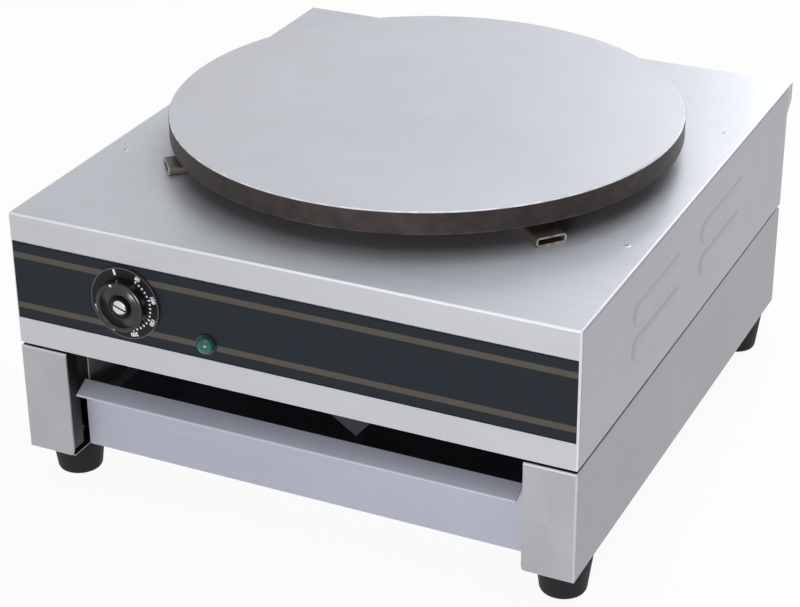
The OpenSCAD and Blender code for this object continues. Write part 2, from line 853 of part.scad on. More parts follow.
module strap_studs() {
    z_low = z_strap - strap_nut_h - 1.4;
    color([0.7, 0.7, 0.72]) placed() for (a = strap_angles) at_plate_angle(a, strap_stud_r)
        translate([0, 0, z_low]) cylinder(h = z_strap + strap_hole_h - z_low, r = strap_stud_d / 2);
}

module strap_nuts() {
    color([0.7, 0.7, 0.72]) placed() for (a = strap_angles) at_plate_angle(a, strap_stud_r)
        translate([0, 0, z_strap - strap_nut_h]) hex_nut(strap_stud_d, 10, strap_nut_h);
}

module pan_holes(z0, z1, play) {
    for (ring_r = [ring_outer_r, ring_inner_r], s = [-1, 1])
        translate([leg_spot(ring_r, s)[0], plate_y + leg_spot(ring_r, s)[1], z0])
            cylinder(h = z1 - z0, r = tube_r + play);
    translate([bulb_x, drop_y, z0]) cylinder(h = z1 - z0, r = capillary_r + play);
}

module reflector_pan() {
    color([0.75, 0.76, 0.78]) placed() difference() {
        translate([0, plate_y, 0]) rotate_extrude() polygon([
            [0, z_pan],
            [pan_r - pan_bend, z_pan],
            [pan_r, z_pan + pan_bend],
            [pan_r, z_top - sheet_t - pan_t],
            [pan_r + pan_flange, z_top - sheet_t - pan_t],
            [pan_r + pan_flange, z_top - sheet_t],
            [pan_r - pan_t, z_top - sheet_t],
            [pan_r - pan_t, z_pan + pan_bend],
            [pan_r - pan_bend - pan_t * 0.4, z_pan + pan_t],
            [0, z_pan + pan_t]
        ]);
        pan_holes(z_pan - 1, z_pan + 4, 1.5);
    }
}

module insulation_pad() {
    color([0.90, 0.88, 0.82]) placed() difference() {
        translate([0, plate_y, z_pan + pan_t]) cylinder(h = insulation_t, r = pan_r - pan_bend - 1);
        pan_holes(z_pan, z_pan + insulation_t + 4, 0.6);
    }
}

// ---- controls ----

module control_band() {
    color([0.16, 0.18, 0.20]) placed() difference() {
        block(-half_w + bend_r + 0.2, half_w - bend_r - 0.2, -band_t, 0,
            z_box + band_z - band_h / 2, z_box + band_z + band_h / 2);
        front_holes(-2, 1);
        rod_y(lamp_x, z_box + lamp_z, -2, 1, lamp_d / 2 - lamp_step);
    }
}

module dial() {
    y0 = -band_t - dial_t;
    color([0.05, 0.05, 0.06]) placed() difference() {
        rod_y(dial_x, z_box + dial_z, y0, -band_t, dial_d / 2 - dial_ring_w);
        front_holes(y0 - 1, 1);
    }
}

module dial_ring() {
    y0 = -band_t - dial_t - 0.2;
    color([0.7, 0.7, 0.72]) placed() difference() {
        rod_y(dial_x, z_box + dial_z, y0, -band_t, dial_d / 2);
        rod_y(dial_x, z_box + dial_z, y0 - 1, 1, dial_d / 2 - dial_ring_w);
    }
}

// Round knob: a broad raised rim, a shallow dish, a fine ring and a hollow with a boss
// for the cap. Its hub reaches back through the dial to the thermostat's sleeve.
module knob() {
    r = knob_d / 2;
    back = -band_t - dial_t - knob_gap;
    color([0.04, 0.04, 0.05]) placed() translate([dial_x, back, z_box + dial_z])
        rotate([90, 0, 0]) difference() {
            rotate_extrude() polygon([
                [0, knob_h - cap_drop],
                [cap_r + 0.5, knob_h - cap_drop],
                [cap_r + 0.5, knob_h - 0.9],
                [cap_r + 1, knob_h - 1],
                [cap_r + 1.3, knob_h - dish_h - 1],
                [dish_r - 1.6, knob_h - dish_h - 0.8],
                [dish_r - 1.1, knob_h - dish_h + 0.3],
                [dish_r - 0.3, knob_h - dish_h + 0.3],
                [dish_r, knob_h - dish_h],
                [r - 3, knob_h - 0.6],
                [r - 2.5, knob_h],
                [r - 0.6, knob_h],
                [r - 0.1, knob_h - 0.3],
                [r + 0.1, knob_h - 1],
                [r + 0.8, 0],
                [r - 0.9, 0],
                [r - 1.3, knob_h - 1.9],
                [hub_knob_r, knob_h - dish_h - 2.2],
                [hub_knob_r, 0],
                [shaft_d / 2 + sleeve_t, 0],
                [shaft_d / 2 + sleeve_t, -hub_back],
                [0, -hub_back]
            ]);
            difference() {
                translate([0, 0, -hub_back - 1])
                    cylinder(h = shaft_in + hub_back + 1, r = shaft_d / 2 + shaft_fit);
                translate([-shaft_d, shaft_d / 2 - shaft_flat, -hub_back - 2])
                    cube([2 * shaft_d, shaft_d, shaft_in + hub_back + 3]);
            }
        }
}

module knob_cap() {
    back = -band_t - dial_t - knob_gap;
    slot_w = 1.3;
    color([0.85, 0.85, 0.86]) placed() translate([dial_x, back, z_box + dial_z])
        rotate([90, 0, 0]) difference() {
            rotate_extrude() polygon([
                [0, knob_h - cap_drop],
                [cap_r, knob_h - cap_drop],
                [cap_r, knob_h - 0.6],
                [cap_r - 0.5, knob_h - 0.2],
                [0, knob_h]
            ]);
            rotate([0, 0, -20]) translate([-cap_r - 1, -slot_w / 2, knob_h - 0.9])
                cube([2 * cap_r + 2, slot_w, 2]);
        }
}

module thermostat_shaft() {
    back = -band_t - dial_t - knob_gap;
    tip = back - shaft_in + 0.1;
    color([0.75, 0.75, 0.77]) placed() difference() {
        rod_y(dial_x, z_box + dial_z, tip, therm_l - 8, shaft_d / 2);
        block(dial_x - shaft_d, dial_x + shaft_d, tip - 1, back + hub_back + 0.01,
            z_box + dial_z + shaft_d / 2 - shaft_flat, z_box + dial_z + shaft_d);
    }
}

module thermostat_body() {
    sleeve_front = -band_t - dial_t - knob_gap + hub_back + 0.4;
    color([0.86, 0.84, 0.78]) placed() difference() {
        union() {
            block(dial_x - therm_w / 2, dial_x + therm_w / 2, sheet_t + 1.5, therm_l,
                z_box + dial_z - therm_h / 2, z_box + dial_z + therm_h / 2);
            block(dial_x - 10, dial_x + 10, sheet_t, sheet_t + 1.6,
                z_box + dial_z - therm_h / 2 + 2, z_box + dial_z + therm_h / 2 - 2);
            rod_y(dial_x, z_box + dial_z, sleeve_front, sheet_t + 0.1, shaft_d / 2 + sleeve_t);
            for (s = [-1, 1]) block(dial_x + s * therm_tab_x - 3, dial_x + s * therm_tab_x + 3,
                therm_l - 0.1, therm_l + therm_tab_l,
                z_box + dial_z - therm_tab_z - 0.4, z_box + dial_z - therm_tab_z + 0.4);
        }
        rod_y(dial_x, z_box + dial_z, -5, therm_l - 7.7, shaft_d / 2 + shaft_clear);
        for (s = [-1, 1])
            rod_y(dial_x, z_box + dial_z + s * therm_screw_r, 0, 9, therm_hole_r);
        rod_y(dial_x, z_box + dial_z + capillary_up, therm_l - 5, therm_l + 1, capillary_r);
    }
}

module thermostat_screws() {
    head = -band_t - dial_t;
    color([0.75, 0.75, 0.77]) placed() for (s = [-1, 1])
        translate([dial_x, 0, z_box + dial_z + s * therm_screw_r]) {
            rod_y(0, 0, head, 9, therm_hole_r);
            translate([0, head, 0]) rotate([90, 0, 0])
                cylinder(h = 1.6, r1 = therm_hole_r + 1.6, r2 = therm_hole_r + 0.6);
        }
}

module capillary_bulb() {
    z_bulb = z_web - bulb_r;
    z_in = z_box + dial_z + capillary_up;
    color([0.72, 0.45, 0.32]) placed() {
        tube_run([bulb_x, bulb_end_y, z_bulb], [bulb_x, bulb_end_y + bulb_l, z_bulb], bulb_r);
        tube_path([
            [bulb_x, bulb_end_y + 1, z_bulb],
            [bulb_x, drop_y, z_bulb],
            [bulb_x, drop_y, z_in],
            [dial_x, drop_y, z_in],
            [dial_x, therm_l - 5, z_in]
        ], capillary_bend, capillary_r);
    }
}

// Sheet clip: a half sleeve under the bulb and a tongue for the screw.
module bulb_clip() {
    z_bulb = z_web - bulb_r;
    y0 = plate_y - clip_l / 2;
    y1 = plate_y + clip_l / 2;
    color([0.7, 0.71, 0.73]) placed() difference() {
        union() {
            rod_y(bulb_x, z_bulb, y0, y1, bulb_r + 1);
            block(clip_screw_x - 7, bulb_x, y0, y1, z_web - clip_t, z_web);
        }
        rod_y(bulb_x, z_bulb, y0 - 1, y1 + 1, bulb_r);
        block(bulb_x - 6, bulb_x + 6, y0 - 1, y1 + 1, z_web, z_web + 6);
        block(bulb_x - 1.6, bulb_x + 1.6, y0 - 1, y1 + 1, z_bulb, z_web + 6);
        translate([clip_screw_x, plate_y, z_web - 3]) cylinder(h = 6, r = clip_screw_r + screw_play);
    }
}

module clip_screw() {
    head_h = 2.2;
    color([0.7, 0.71, 0.73]) placed() translate([clip_screw_x, plate_y, z_web]) {
        translate([0, 0, -clip_t]) cylinder(h = 8 + clip_t, r = clip_screw_r);
        translate([0, 0, -clip_t - head_h])
            cylinder(h = head_h, r1 = clip_screw_r + 0.6, r2 = clip_screw_r + 1.6);
    }
}

module lamp_bezel() {
    color([0.05, 0.05, 0.06]) placed() difference() {
        rod_y(lamp_x, z_box + lamp_z, -band_t - 1.6, -band_t, lamp_d / 2 + 1.4);
        rod_y(lamp_x, z_box + lamp_z, -band_t - 3, 1, lamp_d / 2);
    }
}

module lamp_lens() {
    r = lamp_d / 2;
    color([0.10, 0.50, 0.40]) placed() translate([lamp_x, -band_t, z_box + lamp_z])
        rotate([90, 0, 0]) intersection() {
            union() {
                cylinder(h = 3, r = r - 0.05);
                translate([0, 0, 1.4]) sphere(r = r - 0.05);
            }
            cylinder(h = 10, r = r);
        }
}

module lamp_body() {
    color([0.88, 0.88, 0.86]) placed() {
        rod_y(lamp_x, z_box + lamp_z, -band_t, lamp_l, lamp_d / 2 - lamp_step - lamp_play);
        for (s = [-1, 1]) block(lamp_x + s * lamp_tab_x - 0.4, lamp_x + s * lamp_tab_x + 0.4,
            lamp_l - 0.1, lamp_l + lamp_tab_l, z_box + lamp_z - 2.4, z_box + lamp_z + 2.4);
    }
}

module lamp_nut() {
    color([0.8, 0.8, 0.8]) placed() difference() {
        translate([lamp_x, sheet_t + 3, z_box + lamp_z]) rotate([90, 0, 0])
            cylinder(h = 3, r = 9.6, $fn = 6);
        rod_y(lamp_x, z_box + lamp_z, 0, 9, lamp_d / 2 - lamp_step - lamp_play);
    }
}

// ---- base frame ----

module base_solid(inset) {
    r = inner_bend(inset);
    intersection() {
        along_x(-half_w, half_w)
            round_rect(inset, z_base + inset, body_d - inset, z_frame - inset, r);
        along_y(-1, body_d + 1)
            round_rect(-half_w + inset, z_base + inset, half_w - inset, z_frame - inset, r);
        translate([0, 0, z_base - 1]) linear_extrude(base_h + 2)
            round_rect(-half_w + inset, inset, half_w - inset, body_d - inset, r);
    }
}

module base_skin() {
    difference() {
        base_solid(0);
        base_solid(sheet_t);
    }
}

// Side of the base frame: wall, folded front post, top and bottom flanges.
module base_side() {
    post_x = half_w - post_w;
    rear = body_d - bend_r;
    color([0.72, 0.73, 0.75]) difference() {
        union() {
            intersection() {
                base_skin();
                union() {
                    block(half_w - bend_r, half_w + 1, -1, rear, z_base - 1, z_frame + 1);
                    block(half_w - sheet_t, half_w + 1, -1, body_d + 1, z_base - 1, z_frame + 1);
                    block(post_x, half_w, -1, bend_r, z_base - 1, z_frame + 1);
                    block(post_x, half_w, -1, cover_return, z_frame - sheet_t, z_frame + 1);
                    block(half_w - flange_w, half_w, -1, rear, z_frame - sheet_t, z_frame + 1);
                    block(post_x, half_w, -1, rear, z_base - 1, z_base + sheet_t);
                }
            }
            block(post_x, post_x + sheet_t, sheet_t / 2, post_return,
                z_base + post_corner_r + 1, z_frame - sheet_t + 0.1);
        }
        difference() {
            block(post_x - 1, post_x + post_corner_r, -1, bend_r, z_base - 1, z_base + post_corner_r);
            rod_y(post_x + post_corner_r, z_base + post_corner_r, -2, 40, post_corner_r);
        }
        for (y = bolt_ys) translate([bolt_x, y, z_frame - 3])
            cylinder(h = 4, r = bolt_d / 2 + bolt_play);
        for (y = foot_ys) translate([foot_x, y, z_base - 1])
            cylinder(h = 4, r = foot_screw_d / 2 + screw_play);
    }
}

module base_side_right() {
    placed() base_side();
}

module base_side_left() {
    placed() mirror([1, 0, 0]) base_side();
}

module base_rear() {
    rear_flange = 20;
    color([0.70, 0.71, 0.73]) placed() intersection() {
        base_skin();
        union() {
            block(-half_w + sheet_t + 0.1, half_w - sheet_t - 0.1, body_d - bend_r, body_d + 1,
                z_base - 1, z_frame + 1);
            block(-half_w + flange_w + 0.2, half_w - flange_w - 0.2, body_d - rear_flange, body_d,
                z_frame - sheet_t, z_frame + 1);
            block(-half_w + post_w + 0.2, half_w - post_w - 0.2, body_d - rear_flange, body_d,
                z_base - 1, z_base + sheet_t);
        }
    }
}

module at_frame_bolts() {
    for (x = [-bolt_x, bolt_x], y = bolt_ys) translate([x, y, 0]) children();
}

module frame_bolts() {
    head_h = 3.5;
    z_head = z_frame - sheet_t - rail_t;
    z_end = shield_z + shield_t + bolt_nut_h + 1.5;
    color([0.7, 0.7, 0.72]) placed() at_frame_bolts() {
        translate([0, 0, z_head - head_h]) cylinder(h = head_h, r = bolt_af / sqrt(3), $fn = 6);
        translate([0, 0, z_head - 0.1]) cylinder(h = z_end - z_head, r = bolt_d / 2);
    }
}

module frame_nuts() {
    color([0.7, 0.7, 0.72]) placed() at_frame_bolts()
        translate([0, 0, shield_z + shield_t]) hex_nut(bolt_d, bolt_af, bolt_nut_h);
}

// Washers that keep a dark seam open between the housing and the base frame.
module seam_spacers() {
    rim = 4.5;
    color([0.06, 0.06, 0.06]) placed() at_frame_bolts() translate([0, 0, z_frame]) difference() {
        cylinder(h = spacer_h, r = bolt_d / 2 + rim);
        translate([0, 0, -1]) cylinder(h = spacer_h + 2, r = bolt_d / 2 + bolt_play);
    }
}

// Rail that the tray's rim slides on, with a front and a rear stop.
module tray_rail() {
    y1 = tray_back + rail_over;
    z_up = z_frame - sheet_t;
    stop_h = tray_lug_h + 3;
    y_stop = tray_back - 4.5;
    color([0.66, 0.67, 0.69]) difference() {
        union() {
            block(rail_x, rail_x + rail_t, rail_front, y1, z_rail, z_up);
            block(tray_bowl_x + 1.5, rail_x + rail_t, rail_front, y1, z_rail, z_rail + rail_t);
            block(rail_x, rail_x + rail_top_w, rail_front, y1, z_up - rail_t, z_up);
            block(tray_bowl_x + 3, rail_x + 0.1, stop_y, stop_y + rail_t,
                z_rim_tray + 1.2, z_rim_tray + stop_h);
            block(tray_bowl_x + 3, rail_x + 0.1, y_stop, y_stop + rail_t,
                z_rim_tray - 1, z_rim_tray + stop_h);
        }
        for (y = bolt_ys) translate([bolt_x, y, z_frame - 6])
            cylinder(h = 8, r = bolt_d / 2 + bolt_play);
    }
}

module tray_rail_right() {
    placed() tray_rail();
}

module tray_rail_left() {
    placed() mirror([1, 0, 0]) tray_rail();
}

module tray() {
    y0 = tray_set_back;
    z_lip = z_tray + tray_front_h;
    lip_end = [y0 - lip_out, z_lip - lip_drop];
    x_out = tray_w / 2;
    x_rim = x_out - tray_clear;
    color([0.76, 0.77, 0.80]) placed() {
        along_x(-x_out, x_out) polygon([
            [y0 + tray_t, z_tray],
            [y0, z_tray],
            [y0, z_lip - tray_t * 1.6],
            lip_end + [0.9, -tray_t * 1.1],
            lip_end + [-0.1, -1.3],
            lip_end + [-0.6, -0.7],
            lip_end,
            [y0 + 0.3, z_lip],
            [y0 + tray_t, z_lip - 0.5]
        ]);
        difference() {
            block(-tray_bowl_x, tray_bowl_x, y0 + tray_t, tray_back, z_tray, z_rim_tray);
            block(-tray_bowl_x + tray_t, tray_bowl_x - tray_t, y0 + 2 * tray_t, tray_back - tray_t,
                z_tray + tray_t, z_rim_tray + 1);
        }
        both_sides() {
            block(tray_bowl_x - 0.1, x_rim, y0 + tray_t, tray_back - tray_lug_in + 1,
                z_rim_tray - tray_t, z_rim_tray);
            block(tray_bowl_x - 0.1, x_rim, tray_back - tray_lug_in, tray_back - tray_lug_in + 1,
                z_rim_tray - tray_t, z_rim_tray + tray_lug_h);
        }
    }
}

// ---- feet ----

module at_feet() {
    for (x = [-foot_x, foot_x], y = foot_ys) translate([x, y, 0]) children();
}

module feet() {
    color([0.05, 0.05, 0.05]) placed() at_feet() difference() {
        rotate_extrude() polygon([
            [0, 0],
            [foot_r_floor - 2.5, 0],
            [foot_r_floor - 0.8, 0.8],
            [foot_r_floor, 2.5],
            [foot_r_top, foot_h - 1],
            [foot_r_top - 0.6, foot_h],
            [0, foot_h]
        ]);
        translate([0, 0, -1]) cylinder(h = foot_bore_h + 1, r = foot_screw_head_r + 1.4);
        translate([0, 0, 5]) cylinder(h = foot_h, r = foot_screw_d / 2 + screw_play);
    }
}

module foot_screws() {
    head_h = 3.4;
    slot = 1.2;
    color([0.68, 0.68, 0.7]) placed() at_feet() difference() {
        union() {
            translate([0, 0, foot_bore_h]) cylinder(h = foot_h + 8 - foot_bore_h, r = foot_screw_d / 2);
            translate([0, 0, foot_bore_h - head_h])
                cylinder(h = head_h, r1 = foot_screw_head_r - 1, r2 = foot_screw_head_r);
        }
        for (a = [0, 90]) rotate([0, 0, a])
            translate([-3.6, -slot / 2, foot_bore_h - head_h - 0.6]) cube([7.2, slot, 2]);
    }
}

module foot_nuts() {
    color([0.68, 0.68, 0.7]) placed() at_feet()
        translate([0, 0, z_base + sheet_t]) hex_nut(foot_screw_d, 10, 5);
}

// ---- rear fittings ----

module cable_gland() {
    z = z_box + gland_z;
    color([0.08, 0.08, 0.09]) placed() difference() {
        union() {
            rod_y(gland_x, z, body_d - gland_in, body_d + gland_neck, gland_thread_d / 2);
            translate([gland_x, body_d + gland_collar, z]) rotate([90, 0, 0])
                cylinder(h = gland_collar, r = gland_thread_d / 2 + 3.8, $fn = 6);
        }
        rod_y(gland_x, z, body_d - gland_in - 1, body_d + gland_neck + 1, gland_bore_d / 2);
    }
}

module gland_cap() {
    z = z_box + gland_z;
    seat = gland_neck - gland_collar;
    end = gland_out - gland_collar;
    color([0.08, 0.08, 0.09]) placed() difference() {
        translate([gland_x, body_d + gland_collar, z]) rotate([-90, 0, 0]) rotate_extrude() polygon([
            [gland_thread_d / 2, 0],
            [gland_thread_d / 2 + 2.6, 0],
            [gland_thread_d / 2 + 2.6, seat],
            [gland_thread_d / 2 + 0.4, end - 1.4],
            [gland_bore_d / 2 + 2.7, end],
            [gland_bore_d / 2, end],
            [gland_bore_d / 2, seat],
            [gland_thread_d / 2, seat]
        ]);
        for (a = [0 : 60 : 300]) translate([gland_x, body_d, z]) rotate([0, a, 0])
            translate([gland_thread_d / 2 + 2, gland_collar - 1, -3]) cube([2, seat, 6]);
    }
}

module gland_locknut() {
    color([0.08, 0.08, 0.09]) placed() difference() {
        translate([gland_x, body_d - sheet_t, z_box + gland_z]) rotate([90, 0, 0])
            cylinder(h = gland_nut_h, r = gland_thread_d / 2 + 3.4, $fn = 6);
        rod_y(gland_x, z_box + gland_z, body_d - 8, body_d, gland_thread_d / 2);
    }
}

module earth_stud() {
    z = z_box + earth_z;
    color([0.78, 0.66, 0.36]) placed() {
        rod_y(earth_x, z, body_d - 12, body_d + 13, earth_stud_r);
        translate([earth_x, body_d - sheet_t, z]) rotate([90, 0, 0])
            cylinder(h = 4, r = earth_nut_af / sqrt(3), $fn = 6);
    }
}

module earth_nut() {
    z = z_box + earth_z;
    washer_t = 1.2;
    nut_h = 5;
    color([0.78, 0.66, 0.36]) placed() difference() {
        union() {
            rod_y(earth_x, z, body_d, body_d + washer_t, 2 * earth_stud_r);
            translate([earth_x, body_d + washer_t + nut_h, z]) rotate([90, 0, 0])
                cylinder(h = nut_h, r = earth_nut_af / sqrt(3), $fn = 6);
        }
        rod_y(earth_x, z, body_d - 1, body_d + 8, earth_stud_r);
    }
}

// Where the wires enter the terminal block, counted from 0 to 3.
function block_hole_x(n) = block_x + (n - 1.5) * block_pitch;

module terminal_block() {
    half_l = block_screw_x + 6;
    half_d = 9;
    tower_h = 8;
    clamp_r = block_tower - 1.7;
    z_tower = z_block + block_foot;
    color([0.90, 0.89, 0.84]) placed() difference() {
        union() {
            block(block_x - half_l, block_x + half_l, block_y - half_d, block_y + half_d,
                z_block, z_tower);
            for (n = [0 : 3]) block(block_hole_x(n) - block_tower, block_hole_x(n) + block_tower,
                block_y - half_d + 1, block_y + half_d - 1, z_tower - 0.1, z_tower + tower_h);
        }
        for (n = [0 : 3]) {
            rod_y(block_hole_x(n), z_block_hole, block_y - half_d - 1, block_y + half_d + 1,
                block_hole_r);
            for (s = [-1, 1]) translate([block_hole_x(n), block_y + s * 4, z_block_hole])
                cylinder(h = tower_h + 2, r = clamp_r);
        }
        for (x = [-block_screw_x, block_screw_x]) translate([block_x + x, block_y, z_block - 1])
            cylinder(h = 20, r = block_screw_r + 0.3);
    }
}

module block_screws() {
    tail = 4;
    color([0.7, 0.7, 0.72]) placed() for (x = [-block_screw_x, block_screw_x])
        translate([block_x + x, block_y, z_block]) {
            translate([0, 0, -tail]) cylinder(h = block_foot + tail, r = block_screw_r);
            translate([0, 0, block_foot])
                cylinder(h = block_head_h, r1 = block_head_r, r2 = block_head_r - 0.8);
        }
}

// Wires inside the housing, each bent along right-angled points.
module wiring() {
    z_hole = z_block_hole;
    z_pin = z_ring - leg_l - pin_l;
    z_tab = z_box + dial_z - therm_tab_z;
    z_lamp = z_box + lamp_z;
    y_in = block_y + 5;
    y_lamp = body_d - 6;
    color([0.85, 0.84, 0.80]) placed() {
        for (k = [0, 1], j = [0, 1]) {
            spot = leg_spot(k == 0 ? ring_outer_r : ring_inner_r, 2 * j - 1);
            hole_x = block_hole_x(2 * k + j);
            z_run = z_hole + 14 + 12 * j;
            tube_path([
                [spot[0], plate_y + spot[1], z_pin],
                [spot[0], plate_y + spot[1], z_run],
                [hole_x, plate_y + spot[1], z_run],
                [hole_x, plate_y + spot[1], z_hole],
                [hole_x, block_y - 5, z_hole]
            ], wire_bend, wire_r);
        }
        for (k = [0, 1]) {
            tab_x = dial_x + (1 - 2 * k) * therm_tab_x;
            y_back = body_d - 20 + 8 * k;
            tube_path([
                [tab_x, therm_l + therm_tab_l, z_tab],
                [tab_x, y_back, z_tab],
                [tab_x, y_back, z_hole],
                [block_hole_x(k), y_back, z_hole],
                [block_hole_x(k), y_in, z_hole]
            ], wire_bend, wire_r);
            x_lamp = lamp_x + (2 * k - 1) * lamp_tab_x;
            z_run = z_hole + 10 * k;
            far = k == 0 ? [] : [[block_hole_x(3), y_lamp, z_run]];
            tube_path(concat([
                [x_lamp, lamp_l + lamp_tab_l, z_lamp],
                [x_lamp, y_lamp, z_lamp],
                [x_lamp, y_lamp, z_run]
            ], far, [
                [block_hole_x(k + 2), y_lamp, z_hole],
                [block_hole_x(k + 2), y_in, z_hole]
            ]), wire_bend, wire_r);
        }
    }
}

// ---- output ----

top_cover();
side_panel_left();
side_panel_right();
rear_panel();
heat_shield();
top_rivets();
rear_screws();
cooking_plate();
plate_studs();
plate_nuts();
plate_carrier();
carrier_screws();
carrier_nuts();
element_outer();
element_inner();
element_straps();
strap_studs();
strap_nuts();
reflector_pan();
insulation_pad();
control_band();
dial();
dial_ring();
knob();
knob_cap();
thermostat_shaft();
thermostat_body();
thermostat_screws();
capillary_bulb();
bulb_clip();
clip_screw();
lamp_bezel();
lamp_lens();
lamp_body();
lamp_nut();
base_side_left();
base_side_right();
base_rear();
frame_bolts();
frame_nuts();
seam_spacers();
tray_rail_left();
tray_rail_right();
tray();
feet();
foot_screws();
foot_nuts();
cable_gland();
gland_cap();
gland_locknut();
earth_stud();
earth_nut();
terminal_block();
block_screws();
wiring();
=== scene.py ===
"""Looks of the electric crepe maker: materials, print on the dial, studio light and camera.

Metres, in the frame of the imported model: +Z up, the front faces -Y, floor at Z = 0.
The CAD nodes keep their meshes. Only the print on the dial and the floor are made here.
"""

import math

import bmesh
import bpy
from mathutils import Matrix, Vector

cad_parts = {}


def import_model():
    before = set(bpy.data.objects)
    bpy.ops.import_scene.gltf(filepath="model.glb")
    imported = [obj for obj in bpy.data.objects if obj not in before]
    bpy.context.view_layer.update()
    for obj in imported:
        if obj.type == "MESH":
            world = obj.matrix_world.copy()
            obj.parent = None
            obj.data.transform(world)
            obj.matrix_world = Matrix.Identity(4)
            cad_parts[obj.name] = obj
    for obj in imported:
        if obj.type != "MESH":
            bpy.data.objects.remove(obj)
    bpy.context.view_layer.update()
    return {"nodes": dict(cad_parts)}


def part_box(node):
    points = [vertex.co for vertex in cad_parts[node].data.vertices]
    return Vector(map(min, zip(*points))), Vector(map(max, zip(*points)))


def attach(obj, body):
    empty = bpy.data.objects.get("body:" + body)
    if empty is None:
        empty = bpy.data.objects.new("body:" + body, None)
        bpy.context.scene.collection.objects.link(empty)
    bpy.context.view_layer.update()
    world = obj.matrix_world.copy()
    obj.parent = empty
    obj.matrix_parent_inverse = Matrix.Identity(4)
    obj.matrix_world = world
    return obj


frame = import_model()
NODES = frame["nodes"]
MM = 0.001

# ---- places read from the frame ----
PLATE_LOW, PLATE_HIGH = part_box("cooking_plate")
PLATE_CENTRE = (PLATE_LOW + PLATE_HIGH) / 2
PLATE_TOP = PLATE_HIGH.z
PLATE_RADIUS = (PLATE_HIGH.x - PLATE_LOW.x) / 2
BAND_LOW, BAND_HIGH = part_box("control_band")
DIAL_LOW, DIAL_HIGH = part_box("dial")
DIAL_CENTRE = (DIAL_LOW + DIAL_HIGH) / 2
DIAL_FACE = DIAL_LOW.y
KNOB_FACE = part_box("knob")[0].y
LIP_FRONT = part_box("tray")[0].y
BASE_LOW, BASE_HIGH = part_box("base_side_right")
RIVETS_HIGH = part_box("top_rivets")[1]


